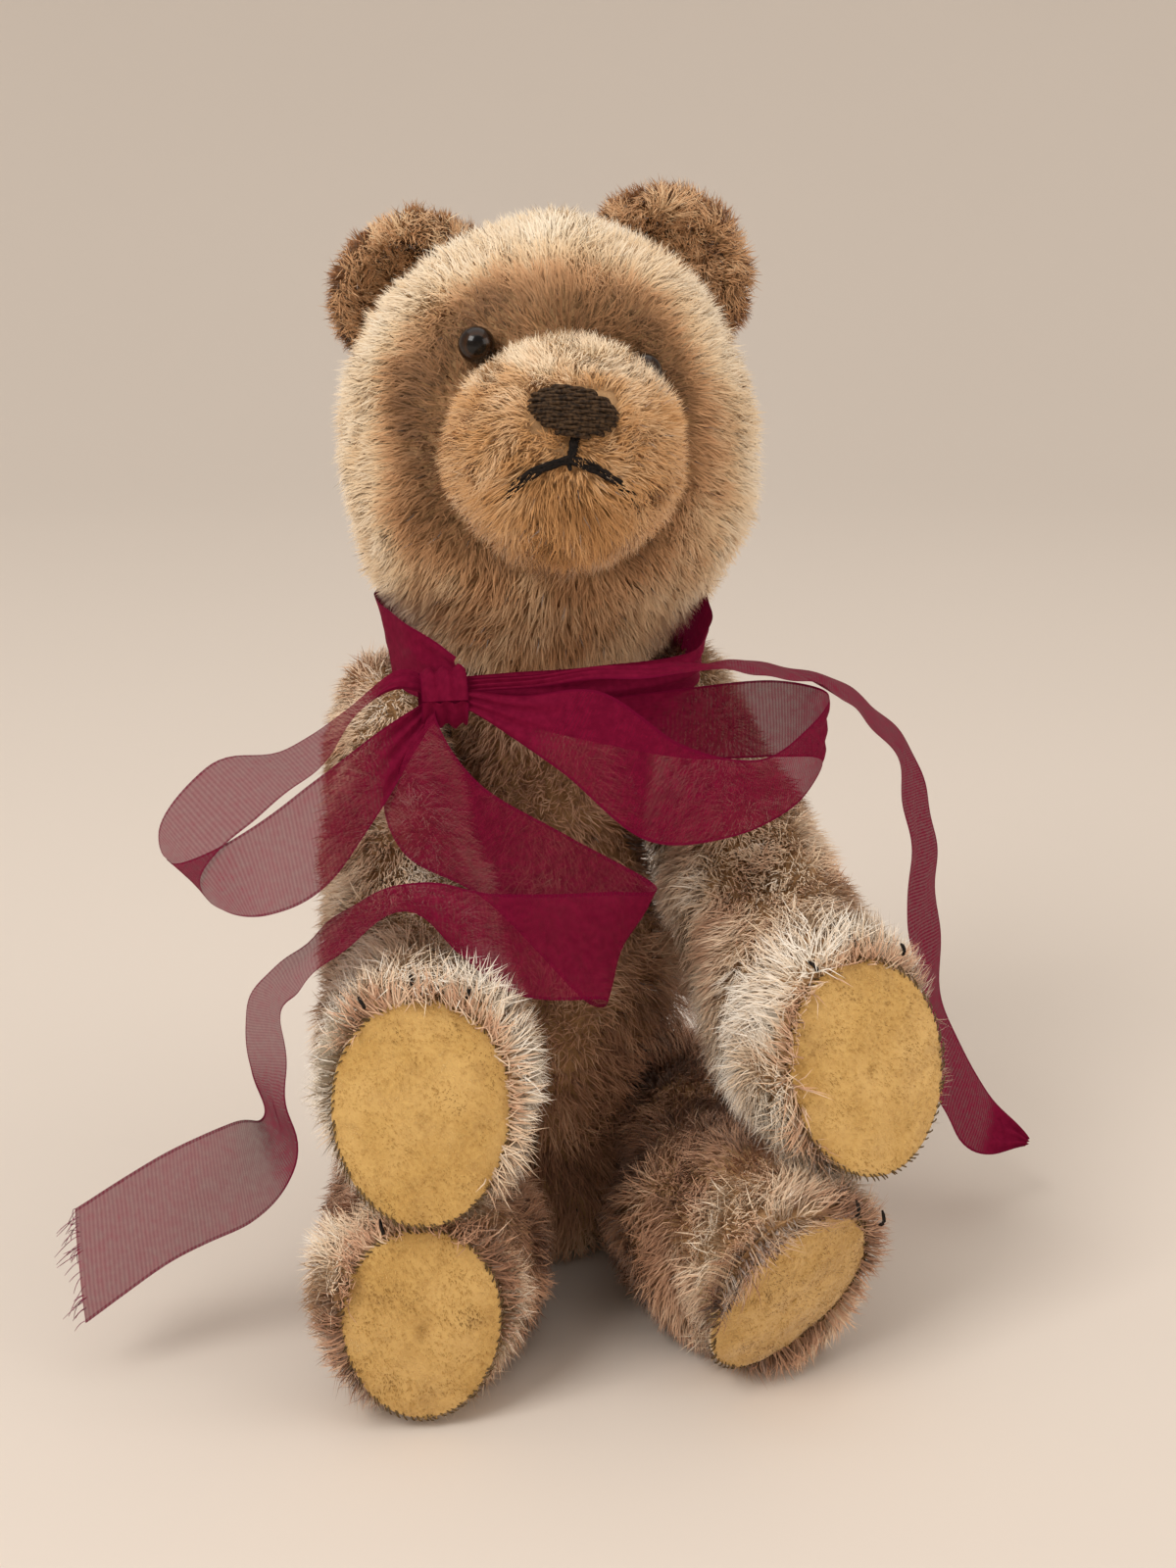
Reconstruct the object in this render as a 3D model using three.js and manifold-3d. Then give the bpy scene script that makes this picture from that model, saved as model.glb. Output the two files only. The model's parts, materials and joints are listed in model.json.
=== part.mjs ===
// Old jointed mohair teddy bear, sitting, with a sheer ribbon tied at its neck.
// Millimetres, +Z up. The bear faces -Y and sits on z = 0, with its own left side at +X.
import * as THREE from 'three';
import { mergeVertices } from 'three/addons/utils/BufferGeometryUtils.js';
import Module from 'manifold-3d';

const wasm = await Module();
wasm.setup();

// Fits that every piece shares
const gap = 0.3;
const reachPast = 8;
const runOn = 14;
const seatSink = 3.5;
const clearOf = 60;
const cutSize = 200;
const weldWithin = 0.02;
const limbBluntness = 0.7;
const headBluntness = 0.6;

// Covers: woven back and pile together, thin where a joint squeezes them
const coverWall = 4.5;
const seatWall = 1.5;
const earWall = 5.2;
const muzzleWall = 3.2;

// Torso, from the seat up: height and half sizes of the stuffed body
const torsoHeight = 101;
const neckSetback = 10;
const torsoBack = 3;
const seatHalfWidth = 21;
const seatHalfDepth = 21;
const bellyHeight = 40;
const bellyHalfWidth = 24;
const bellyHalfDepth = 23;
const chestHeight = 68;
const chestHalfWidth = 20;
const chestHalfDepth = 19;
const neckHalfWidth = 21;
const neckHalfDepth = 20;
const seatPress = 11;
const neckPress = 13;
const shoulderHollow = 30;

// Joints: where each pair of discs clamps a limb to the torso
const shoulderHalfSpan = 17;
const shoulderDrop = 13;
const shoulderBack = 12;
const hipHalfSpan = 11.5;
const hipHeight = 18;
const hipBack = 3;
const hipPocketTop = 38;
const discThickness = 1.5;
const neckDiscRadius = 12;
const shoulderDiscRadius = 8;
const hipDiscRadius = 10;
const washerThickness = 0.6;
const washerRadius = 4.2;
const pinRadius = 0.9;
const pinWireRadius = 0.6;
const pinCurlRadius = 1.8;
const pinEyeRadius = 1.6;
const pinCurlAngle = 210;

// Arms, measured along the arm from the shoulder pin
const armReach = 77;
const forearmReach = 26;
const wristReach = 50;
const pawReach = 68;
const armBack = 13;
const armSeatRadius = 33;
const shoulderHalfWidth = 11.5;
const shoulderHalfDepth = 16.5;
const forearmHalfWidth = 12;
const forearmHalfDepth = 16;
const wristHalfWidth = 14;
const wristHalfDepth = 17;
const pawHalfWidth = 16.5;
const pawPadOutset = 2;
const pawHalfDepth = 20.5;
const pawRise = 9;
const pawTurnUp = 54;

// Legs, measured along the leg from the hip pin to the sole
const legReach = 61;
const kneeReach = 24;
const ankleReach = 40;
const heelReach = 54;
const legBack = 16;
const legSeatRadius = 29;
const thighHalfWidth = 14.5;
const thighHalfDepth = 18.5;
const shinHalfWidth = 16.5;
const shinHalfDepth = 16.8;
const footHalfWidth = 16.5;
const footOutset = 5.5;
const footHalfDepth = 19;
const legDrop = 2.4;
const soleLean = { left: -16, right: 4 };
const toeRunOn = { left: 24, right: 14 };

// Felt pads set into the paws and feet
const padThickness = 1.6;
const pawPadWidth = 26;
const pawPadHeight = 33;
const solePadWidth = 23.5;
const solePadHeight = 30;

// Head, in its own frame above the neck joint
const headHeight = 72;
const throatHalfWidth = 20;
const throatHalfDepth = 19;
const throatPress = 12;
const jawHeight = 15;
const jawHalfWidth = 31;
const jawHalfDepth = 28;
const cheekHeight = 34;
const cheekHalfWidth = 34.5;
const cheekHalfDepth = 31;
const browHeight = 55;
const browHalfWidth = 31;
const browHalfDepth = 28.5;
const crownHalfWidth = 22;
const crownHalfDepth = 20;
const muzzleHeight = 38.5;
const muzzleForward = 30;
const muzzleOutset = 1.6;
const muzzleHalfWidth = 18.5;
const muzzleHalfHeight = 17.5;
const muzzleHalfDepth = 19.5;
const eyeRadius = 3.3;
const eyeHalfSpan = { left: 13.1, right: 12.7 };
const eyeHeight = { left: 50.7, right: 53.1 };
const eyeSink = 1.4;
const earHalfSpan = { left: 18, right: 22.5 };
const earHeight = { left: 64, right: 57.5 };
const earBack = 7;
const earHalfWidth = 14.5;
const earTall = 14.5;
const earHalfDepth = 6;
const earSpread = { left: 34, right: 44 };
const noseWidth = 13.6;
const noseHeight = 7;
const noseRise = 5.7;
const noseStitches = 7;
const noseTaper = 0.45;
const threadRadius = 0.7;
const stemLength = 3.5;
const mouthDrop = 9;
const mouthHalfWidth = { left: 11, right: 9 };

// Pose in the photograph, in degrees
const neckTilt = 4;
const headTurn = -7;
const headPitch = 6;
const armSwing = { left: 36, right: 36.5 };
const armSplay = { left: 12, right: 0 };
const footTurn = { left: 22, right: 5 };
const footRoll = { left: 44, right: 0 };

// Ribbon
const ribbonThickness = 0.6;

// Colours, roughness and metalness seen in the photograph
const finishes = {
  mohair: { color: 0xc09a6c, roughness: 0.95, metalness: 0 },
  muzzleMohair: { color: 0xb88a52, roughness: 0.95, metalness: 0 },
  earMohair: { color: 0x9a7448, roughness: 0.95, metalness: 0 },
  woodWool: { color: 0xcbb486, roughness: 0.9, metalness: 0 },
  felt: { color: 0xc99a3c, roughness: 0.95, metalness: 0 },
  hardboard: { color: 0x8c6a44, roughness: 0.8, metalness: 0 },
  steel: { color: 0x9a9c9e, roughness: 0.35, metalness: 1 },
  glass: { color: 0x4a2a12, roughness: 0.08, metalness: 0 },
  noseFloss: { color: 0x3c2c20, roughness: 0.7, metalness: 0 },
  mouthThread: { color: 0x1c1614, roughness: 0.7, metalness: 0 },
  organza: { color: 0x6e1230, roughness: 0.45, metalness: 0 },
};
const sides = { left: 1, right: -1 };

// Facets round and along each kind of form
const facets = {
  torso: [14, 9],
  torsoInside: [8, 6],
  head: [20, 12],
  headInside: [8, 6],
  muzzle: [12, 9],
  muzzleInside: [8, 6],
  limb: [12, 10],
  limbInside: [8, 6],
  ear: [10, 7],
  earHollow: [8, 6],
  eye: [10, 6],
  disc: 10,
  washer: 6,
  chamber: 6,
  hole: 6,
  zone: 10,
  padRound: 4,
};

// Reading and writing solids
function toSolid(geometry) {
  const bare = geometry.clone();
  bare.deleteAttribute('normal');
  bare.deleteAttribute('uv');
  const merged = mergeVertices(bare, 1e-4);
  return new wasm.Manifold(new wasm.Mesh({
    numProp: 3,
    vertProperties: new Float32Array(merged.attributes.position.array),
    triVerts: new Uint32Array(merged.index.array),
  }));
}

function toGeometry(solid) {
  const mesh = solid.getMesh();
  const geometry = new THREE.BufferGeometry();
  geometry.setAttribute('position', new THREE.BufferAttribute(new Float32Array(mesh.vertProperties), 3));
  geometry.setIndex(new THREE.BufferAttribute(new Uint32Array(mesh.triVerts), 1));
  geometry.computeVertexNormals();
  return geometry;
}

function piece(name, finish, shape) {
  const geometry = shape.isBufferGeometry ? shape : toGeometry(shape);
  const mesh = new THREE.Mesh(geometry, new THREE.MeshStandardMaterial(finishes[finish]));
  mesh.name = name;
  return mesh;
}

function radians(degrees) {
  return THREE.MathUtils.degToRad(degrees);
}

function placed(geometry, matrix) {
  return toSolid(geometry.clone().applyMatrix4(matrix));
}

// A frame whose z runs along an axis, standing at a point
function frameAlong(point, axis) {
  const turn = new THREE.Quaternion().setFromUnitVectors(new THREE.Vector3(0, 0, 1), axis.clone().normalize());
  return new THREE.Matrix4().compose(point, turn, new THREE.Vector3(1, 1, 1));
}

// A stuffed form: a sphere's rings laid along a spine, each as wide and deep as the form is there.
// Stations run along the spine, and the rings turn with a given sideways direction held level.
function stuffedForm(stations, inset, meshSides, meshRings, sideways = new THREE.Vector3(1, 0, 0), blunt = limbBluntness) {
  const spine = new THREE.CatmullRomCurve3(stations.map((s) => s.at));
  const girth = new THREE.CatmullRomCurve3(stations.map((s) => new THREE.Vector3(s.wide, s.deep, 0)));
  const trim = Math.max(inset, 0) / spine.getLength();
  const sphere = new THREE.SphereGeometry(1, meshSides, meshRings);
  const points = sphere.attributes.position;
  for (let i = 0; i < points.count; i += 1) {
    const unit = new THREE.Vector3().fromBufferAttribute(points, i);
    const along = THREE.MathUtils.lerp(trim, 1 - trim, (1 - unit.y) / 2);
    const ring = Math.hypot(unit.x, unit.z);
    const spread = ring > 1e-6 ? ring ** blunt / ring : 0;
    const size = girth.getPoint(along);
    const depthwise = spine.getTangent(along).cross(sideways).normalize();
    const place = spine.getPoint(along)
      .addScaledVector(sideways, unit.x * spread * (size.x - inset))
      .addScaledVector(depthwise, unit.z * spread * (size.y - inset));
    points.setXYZ(i, place.x, place.y, place.z);
  }
  return toSolid(sphere);
}

function station(x, y, z, wide, deep) {
  return { at: new THREE.Vector3(x, y, z), wide, deep };
}

// Everything on the far side of a plane, as a solid to cut with
function beyond(point, normal) {
  const block = new THREE.BoxGeometry(cutSize, cutSize, cutSize);
  block.translate(0, 0, cutSize / 2);
  return placed(block, frameAlong(point, normal));
}

function rod(radius, from, to, segments) {
  const cylinder = new THREE.CylinderGeometry(radius, radius, to - from, segments);
  cylinder.rotateX(Math.PI / 2);
  cylinder.translate(0, 0, (from + to) / 2);
  return cylinder;
}

function plate(radius, bore, from, to, segments) {
  const rim = [[bore, from], [radius, from], [radius, to], [bore, to], [bore, from]];
  const lathe = new THREE.LatheGeometry(rim.map(([r, h]) => new THREE.Vector2(r, h)), segments);
  lathe.rotateX(Math.PI / 2);
  return lathe;
}

// One disc joint, stacked along an axis that points from the torso into the limb
const stack = {
  cover: gap / 2 + seatWall,
  disc: gap / 2 + seatWall + gap,
  washer: gap / 2 + seatWall + 2 * gap + discThickness,
  pin: gap / 2 + seatWall + 3 * gap + discThickness + washerThickness,
};
const pinBore = pinRadius + gap;
const pinHeadReach = stack.pin + 2 * (pinEyeRadius + pinWireRadius);
const pinCurlReach = stack.pin + 2 * (pinCurlRadius + pinWireRadius);
const pinCurlWidth = 2 * pinCurlRadius + 2 * pinWireRadius + pinRadius / 2;

// The room that a joint's disc, washer and pin take up on one side of it
function pocket(discRadius, side) {
  const depth = (side > 0 ? pinHeadReach : pinCurlReach) + gap;
  const width = (side > 0 ? washerRadius : Math.max(washerRadius, pinCurlWidth)) + gap;
  const span = (far) => [side * stack.cover, side * far].sort((a, b) => a - b);
  return {
    wide: rod(discRadius + gap, ...span(stack.washer), facets.disc),
    narrow: rod(width, ...span(depth), facets.chamber),
  };
}

function cutPocket(solid, joint, side) {
  const { wide, narrow } = pocket(joint.disc, side);
  return solid.subtract(placed(wide, joint.frame)).subtract(placed(narrow, joint.frame));
}

function disc(joint, side) {
  const near = side * stack.disc;
  const far = side * (stack.disc + discThickness);
  return placed(plate(joint.disc, pinBore, Math.min(near, far), Math.max(near, far), facets.disc), joint.frame);
}

function washer(joint, side) {
  const near = side * stack.washer;
  const far = side * (stack.washer + washerThickness);
  return placed(plate(washerRadius, pinBore, Math.min(near, far), Math.max(near, far), facets.washer), joint.frame);
}

// Cotter pin: a wire eye in the limb, a shank through the joint and two legs curled back in the torso
function cotterPin(joint) {
  const eye = new THREE.TorusGeometry(pinEyeRadius, pinWireRadius, 4, 6);
  eye.rotateX(Math.PI / 2);
  eye.translate(0, 0, stack.pin + pinEyeRadius + pinWireRadius);
  let pin = toSolid(rod(pinRadius, -stack.pin - pinWireRadius, stack.pin + pinWireRadius * 2, 6)).add(toSolid(eye));
  const section = new THREE.Shape();
  section.absarc(0, 0, pinWireRadius, 0, 2 * Math.PI);
  for (const way of [1, -1]) {
    const start = pinRadius / 2;
    const middle = -stack.pin - pinWireRadius - pinCurlRadius;
    const turn = [0, 1, 2, 3].map((k) => {
      const angle = Math.PI + (k / 3) * radians(pinCurlAngle);
      const across = start + pinCurlRadius + pinCurlRadius * Math.cos(angle);
      return new THREE.Vector3(way * across, 0, middle + pinCurlRadius * Math.sin(angle));
    });
    const path = new THREE.CatmullRomCurve3([new THREE.Vector3(way * start, 0, -stack.pin), ...turn]);
    const leg = new THREE.ExtrudeGeometry(section, { steps: 3, extrudePath: path, curveSegments: 2 });
    pin = pin.add(toSolid(leg));
  }
  return placed(toGeometry(pin), joint.frame);
}

// The five joints in the bear's frame
const neckPoint = new THREE.Vector3(0, torsoBack + neckSetback, torsoHeight);
const neckAxis = new THREE.Vector3(Math.sin(radians(neckTilt)), 0, Math.cos(radians(neckTilt)));

function shoulderJoint(side) {
  const splay = radians(armSplay[side]);
  const point = new THREE.Vector3(sides[side] * shoulderHalfSpan, shoulderBack, torsoHeight - shoulderDrop);
  const axis = new THREE.Vector3(sides[side] * Math.cos(splay), Math.sin(splay), 0);
  return { point, axis, disc: shoulderDiscRadius, frame: frameAlong(point, axis) };
}

function hipJoint(side) {
  const point = new THREE.Vector3(sides[side] * hipHalfSpan, hipBack, hipHeight);
  const axis = new THREE.Vector3(sides[side], 0, 0);
  return { point, axis, disc: hipDiscRadius, frame: frameAlong(point, axis) };
}

const neckJoint = { point: neckPoint, axis: neckAxis, disc: neckDiscRadius, frame: frameAlong(neckPoint, neckAxis) };

// A joint as its limb sees it: the pin at the origin, pointing to the limb's outer side
function ownJoint(joint, axis) {
  return { disc: joint.disc, frame: frameAlong(new THREE.Vector3(), axis) };
}

// Egg outline of a felt pad, broad end up, centred on the origin
function eggShape(width, height) {
  const shape = new THREE.Shape();
  const half = width / 2;
  const top = height / 2;
  const round = 0.56;
  const waist = height * 0.04;
  shape.moveTo(0, -top);
  shape.bezierCurveTo(half * round, -top, half, waist - top * round, half, waist);
  shape.bezierCurveTo(half, waist + top * round, half * round, top, 0, top);
  shape.bezierCurveTo(-half * round, top, -half, waist + top * round, -half, waist);
  shape.bezierCurveTo(-half, waist - top * round, -half * round, -top, 0, -top);
  return shape;
}

function eggPrism(width, height, from, to, segments) {
  const prism = new THREE.ExtrudeGeometry(eggShape(width, height), {
    depth: to - from, bevelEnabled: false, curveSegments: segments,
  });
  prism.translate(0, 0, from);
  return prism;
}

// A frame on a limb's end: z along the pad's normal and y up the pad, rolled about the normal
function padFrame({ centre, normal, roll }) {
  const across = new THREE.Vector3(0, 0, 1).cross(normal).normalize();
  const up = normal.clone().cross(across);
  const frame = new THREE.Matrix4().makeBasis(across, up, normal);
  return frame.multiply(new THREE.Matrix4().makeRotationZ(-roll)).setPosition(centre);
}

// Cover, stuffing and pad of one limb, in the limb's own frame with its joint pin at the origin.
// Near the pin the limb is pressed flat against the torso; beyond that it bulges inward.
function limbPieces({ form, joint, pad, outward, seatRadius }) {
  const onPad = padFrame(pad);
  const flat = (radius, height) => placed(rod(radius, -clearOf, height, facets.zone), joint.frame);
  const shell = (inset) => stuffedForm(form, inset, ...facets.limbInside, outward);
  const prism = (spread, from, to, segments) => (
    placed(eggPrism(pad.width + 2 * spread, pad.height + 2 * spread, from, to, segments), onPad));
  const packedFace = beyond(pad.centre.clone().addScaledVector(pad.normal, -padThickness - gap), pad.normal);
  const padFace = beyond(pad.centre, pad.normal);
  const hole = placed(rod(pinBore, -reachPast, reachPast, facets.hole), joint.frame);
  const cavity = shell(coverWall)
    .subtract(flat(seatRadius + coverWall, stack.cover))
    .subtract(padFace);
  const cover = stuffedForm(form, 0, ...facets.limb, outward)
    .subtract(flat(seatRadius, gap / 2))
    .subtract(padFace)
    .subtract(cavity)
    .subtract(prism(gap, -reachPast, reachPast, facets.padRound))
    .subtract(hole);
  const packed = shell(coverWall + gap)
    .subtract(flat(seatRadius + coverWall, stack.cover + gap))
    .subtract(packedFace)
    .add(prism(0, -reachPast, -padThickness - gap, facets.padRound).intersect(shell(gap)));
  return {
    cover: cutPocket(cover, joint, 1),
    stuffing: cutPocket(packed, joint, 1),
    felt: prism(0, -padThickness, 0, facets.padRound),
  };
}

// Arm: lies along -y from the shoulder pin, with the paw turned up at its end
function armForm(way) {
  const centre = way * (shoulderHalfWidth - seatSink);
  return [
    station(centre, armBack, 0, shoulderHalfWidth, shoulderHalfDepth),
    station(centre, 0, 0, shoulderHalfWidth, shoulderHalfDepth),
    station(centre, -forearmReach, 0, forearmHalfWidth, forearmHalfDepth),
    station(centre, -wristReach, 0, wristHalfWidth, wristHalfDepth),
    station(centre, -pawReach, pawRise / 2, pawHalfWidth, pawHalfDepth),
    station(centre, -armReach - runOn, pawRise + runOn, pawHalfWidth, pawHalfDepth),
  ];
}

function buildArm(side) {
  const way = sides[side];
  const joint = shoulderJoint(side);
  const outward = new THREE.Vector3(way, 0, 0);
  const turn = radians(pawTurnUp);
  const pad = {
    width: pawPadWidth,
    height: pawPadHeight,
    centre: new THREE.Vector3(way * (shoulderHalfWidth - seatSink + pawPadOutset), -armReach, pawRise),
    normal: new THREE.Vector3(0, -Math.cos(turn), Math.sin(turn)),
    roll: 0,
  };
  const own = ownJoint(joint, outward);
  const shape = { form: armForm(way), joint: own, pad, outward, seatRadius: armSeatRadius };
  const { cover, stuffing, felt } = limbPieces(shape);
  const arm = new THREE.Group();
  arm.add(
    piece(`${side}_arm_cover`, 'mohair', cover),
    piece(`${side}_arm_stuffing`, 'woodWool', stuffing),
    piece(`${side}_paw_pad`, 'felt', felt),
    piece(`${side}_shoulder_limb_disc`, 'hardboard', disc(own, 1)),
    piece(`${side}_shoulder_limb_washer`, 'steel', washer(own, 1)),
  );
  arm.position.copy(joint.point);
  arm.rotation.set(radians(armSwing[side]), 0, way * radians(armSplay[side]), 'ZYX');
  return arm;
}

// Leg: lies along -y from the hip pin, flattened where it rests on the ground
function legForm(side) {
  const way = sides[side];
  const centre = way * (thighHalfWidth - seatSink);
  const foot = centre + way * footOutset;
  return [
    station(centre, legBack, 0, thighHalfWidth, thighHalfDepth),
    station(centre, 0, 0, thighHalfWidth, thighHalfDepth),
    station(centre, -kneeReach, -legDrop, shinHalfWidth, shinHalfDepth),
    station(centre, -ankleReach, -legDrop, shinHalfWidth, shinHalfDepth),
    station(foot, -heelReach, 0, footHalfWidth, footHalfDepth),
    station(foot, -legReach - toeRunOn[side], 0, footHalfWidth, footHalfDepth),
  ];
}

function buildLeg(side) {
  const way = sides[side];
  const joint = hipJoint(side);
  const outward = new THREE.Vector3(way, 0, 0);
  const turn = way * radians(footTurn[side]);
  const lean = radians(soleLean[side]);
  const pad = {
    width: solePadWidth,
    height: solePadHeight,
    centre: new THREE.Vector3(way * (thighHalfWidth - seatSink + footOutset), -legReach, -legDrop / 2),
    normal: new THREE.Vector3(Math.sin(turn) * Math.cos(lean), -Math.cos(turn) * Math.cos(lean), Math.sin(lean)),
    roll: way * radians(footRoll[side]),
  };
  const own = ownJoint(joint, outward);
  const shape = { form: legForm(side), joint: own, pad, outward, seatRadius: legSeatRadius };
  const { cover, stuffing, felt } = limbPieces(shape);
  const ground = beyond(new THREE.Vector3(0, 0, -hipHeight), new THREE.Vector3(0, 0, -1));
  const leg = new THREE.Group();
  leg.add(
    piece(`${side}_leg_cover`, 'mohair', cover.subtract(ground)),
    piece(`${side}_leg_stuffing`, 'woodWool', stuffing),
    piece(`${side}_foot_pad`, 'felt', felt),
    piece(`${side}_hip_limb_disc`, 'hardboard', disc(own, 1)),
    piece(`${side}_hip_limb_washer`, 'steel', washer(own, 1)),
  );
  leg.position.copy(joint.point);
  return leg;
}

// Torso: an upright stuffed body, flat where it sits and where the limbs press on it
const torsoForm = [
  station(0, torsoBack, -seatPress, seatHalfWidth, seatHalfDepth),
  station(0, torsoBack, bellyHeight / 2, (seatHalfWidth + bellyHalfWidth) / 2, (seatHalfDepth + bellyHalfDepth) / 2),
  station(0, torsoBack + neckSetback * 0.3, bellyHeight, bellyHalfWidth, bellyHalfDepth),
  station(0, torsoBack + neckSetback * 0.65, chestHeight, chestHalfWidth, chestHalfDepth),
  station(0, torsoBack + neckSetback, torsoHeight + neckPress, neckHalfWidth, neckHalfDepth),
];

// The zone beside the torso that a limb turns in, from a seat plane outward
function limbZone(joint, seat, radius) {
  return placed(rod(radius, seat, seat + clearOf, facets.zone), joint.frame);
}

function hipPocketZone(way, seat) {
  const block = new THREE.BoxGeometry(clearOf, 2 * clearOf, hipPocketTop * 2);
  block.translate(way * (hipHalfSpan + seat + clearOf / 2), 0, 0);
  return toSolid(block);
}

function trimmedTorso(inset, seat) {
  let solid = stuffedForm(torsoForm, inset, ...(inset ? facets.torsoInside : facets.torso));
  solid = solid.subtract(beyond(neckPoint.clone().addScaledVector(neckAxis, -seat), neckAxis));
  for (const side of Object.keys(sides)) {
    solid = solid.subtract(limbZone(shoulderJoint(side), -seat, shoulderHollow));
    solid = solid.subtract(hipPocketZone(sides[side], -seat));
  }
  return solid;
}

const torsoJoints = [neckJoint, shoulderJoint('left'), shoulderJoint('right'), hipJoint('left'), hipJoint('right')];

function buildTorso() {
  const down = new THREE.Vector3(0, 0, -1);
  let cover = trimmedTorso(0, gap / 2)
    .subtract(beyond(new THREE.Vector3(), down))
    .subtract(trimmedTorso(coverWall, stack.cover).subtract(beyond(new THREE.Vector3(0, 0, coverWall), down)));
  let stuffing = trimmedTorso(coverWall + gap, stack.cover + gap)
    .subtract(beyond(new THREE.Vector3(0, 0, coverWall + gap), down));
  for (const joint of torsoJoints) {
    cover = cutPocket(cover, joint, -1).subtract(placed(rod(pinBore, -reachPast, reachPast, facets.hole), joint.frame));
    stuffing = cutPocket(stuffing, joint, -1);
  }
  const torso = new THREE.Group();
  torso.add(piece('torso_cover', 'mohair', cover), piece('torso_stuffing', 'woodWool', stuffing));
  const names = ['neck', 'left_shoulder', 'right_shoulder', 'left_hip', 'right_hip'];
  torsoJoints.forEach((joint, i) => {
    torso.add(
      piece(`${names[i]}_torso_disc`, 'hardboard', disc(joint, -1)),
      piece(`${names[i]}_torso_washer`, 'steel', washer(joint, -1)),
      piece(`${names[i]}_cotter_pin`, 'steel', cotterPin(joint)),
    );
  });
  return torso;
}

// Head: round, with a separate muzzle piece sewn into the front, seen in the head's own frame
const headForm = [
  station(0, 0, -throatPress, throatHalfWidth, throatHalfDepth),
  station(0, 0, jawHeight, jawHalfWidth, jawHalfDepth),
  station(0, -1, cheekHeight, cheekHalfWidth, cheekHalfDepth),
  station(0, -1, browHeight, browHalfWidth, browHalfDepth),
  station(0, 0, headHeight, crownHalfWidth, crownHalfDepth),
];

function headSolid(inset, meshSides, meshRings) {
  return stuffedForm(headForm, inset, meshSides, meshRings, new THREE.Vector3(1, 0, 0), headBluntness);
}

const muzzleCentre = new THREE.Vector3(muzzleOutset, -muzzleForward, muzzleHeight);
const muzzleTilt = new THREE.Matrix4().makeRotationX(-radians(headPitch));

function muzzleBall(inset, meshSides, meshRings) {
  const ball = new THREE.SphereGeometry(1, meshSides, meshRings);
  ball.scale(muzzleHalfWidth - inset, muzzleHalfDepth - inset, muzzleHalfHeight - inset);
  ball.applyMatrix4(muzzleTilt);
  ball.translate(muzzleCentre.x, muzzleCentre.y, muzzleCentre.z);
  return toSolid(ball);
}

// The point on the muzzle's surface at a place across and up from its middle, and some way above it
function onMuzzle(across, up, above) {
  const wide = (muzzleHalfWidth + above);
  const tall = (muzzleHalfHeight + above);
  const deep = (muzzleHalfDepth + above);
  const depth = deep * Math.sqrt(Math.max(0, 1 - (across / wide) ** 2 - (up / tall) ** 2));
  return new THREE.Vector3(across, -depth, up).applyMatrix4(muzzleTilt).add(muzzleCentre);
}

// The eye sits on the face, sunk a little into the pile
function eyeCentre(side) {
  const ringDepth = browHalfDepth * Math.sqrt(1 - (eyeHalfSpan[side] / browHalfWidth) ** 2);
  return new THREE.Vector3(sides[side] * eyeHalfSpan[side], -1 - ringDepth + eyeSink, eyeHeight[side]);
}

// Ear: a cupped half round of folded mohair sewn along the head's seam
function ear(side) {
  const way = sides[side];
  const outer = new THREE.SphereGeometry(1, ...facets.ear);
  outer.scale(earHalfWidth, earHalfDepth, earTall);
  const hollow = new THREE.SphereGeometry(1, ...facets.earHollow);
  hollow.scale(earHalfWidth, earHalfDepth, earTall);
  hollow.translate(0, -earWall, 0);
  const stand = new THREE.Matrix4().makeRotationY(way * radians(earSpread[side]));
  stand.setPosition(way * earHalfSpan[side], earBack, earHeight[side]);
  return placed(outer, stand)
    .subtract(placed(hollow, stand))
    .subtract(headSolid(-gap, ...facets.head));
}

// Nose: satin stitches laid side by side, narrower towards the lip
function noseStitching() {
  const lines = Array.from({ length: noseStitches }, (_, i) => i / (noseStitches - 1));
  const pitch = noseHeight / noseStitches;
  const strandRadius = pitch;
  let nose = null;
  for (const down of lines) {
    const half = (noseWidth / 2) * (1 - noseTaper * down ** 2);
    const up = noseRise + noseHeight / 2 - pitch / 2 - down * (noseHeight - pitch);
    const path = new THREE.CatmullRomCurve3([-1, -0.5, 0, 0.5, 1].map((s) => (
      onMuzzle(s * half, up, gap + strandRadius))));
    const section = new THREE.Shape();
    section.absarc(0, 0, strandRadius, 0, 2 * Math.PI);
    const strand = toSolid(new THREE.ExtrudeGeometry(section, { steps: 3, extrudePath: path, curveSegments: 2 }));
    nose = nose ? nose.add(strand) : strand;
  }
  return nose;
}

// Mouth: a short stem under the nose and two threads curving down from it
function mouthStitching() {
  const above = gap + threadRadius;
  const fork = noseRise - noseHeight / 2 - stemLength;
  const section = new THREE.Shape();
  section.absarc(0, 0, threadRadius, 0, 2 * Math.PI);
  const thread = (points, steps) => {
    const path = new THREE.CatmullRomCurve3(points.map(([x, z]) => onMuzzle(x, z, above)));
    return toSolid(new THREE.ExtrudeGeometry(section, { steps, extrudePath: path, curveSegments: 2 }));
  };
  const stemTop = noseRise - noseHeight / 2 - gap - threadRadius;
  let mouth = thread([[0, stemTop], [0, (stemTop + fork) / 2], [0, fork - threadRadius]], 3);
  for (const side of Object.keys(sides)) {
    const way = sides[side];
    const reach = way * mouthHalfWidth[side];
    mouth = mouth.add(thread([
      [-way * 0.4, fork],
      [reach * 0.45, fork - mouthDrop * 0.15],
      [reach * 0.8, fork - mouthDrop * 0.42],
      [reach, fork - mouthDrop * 0.75],
    ], 5));
  }
  return mouth;
}

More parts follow.
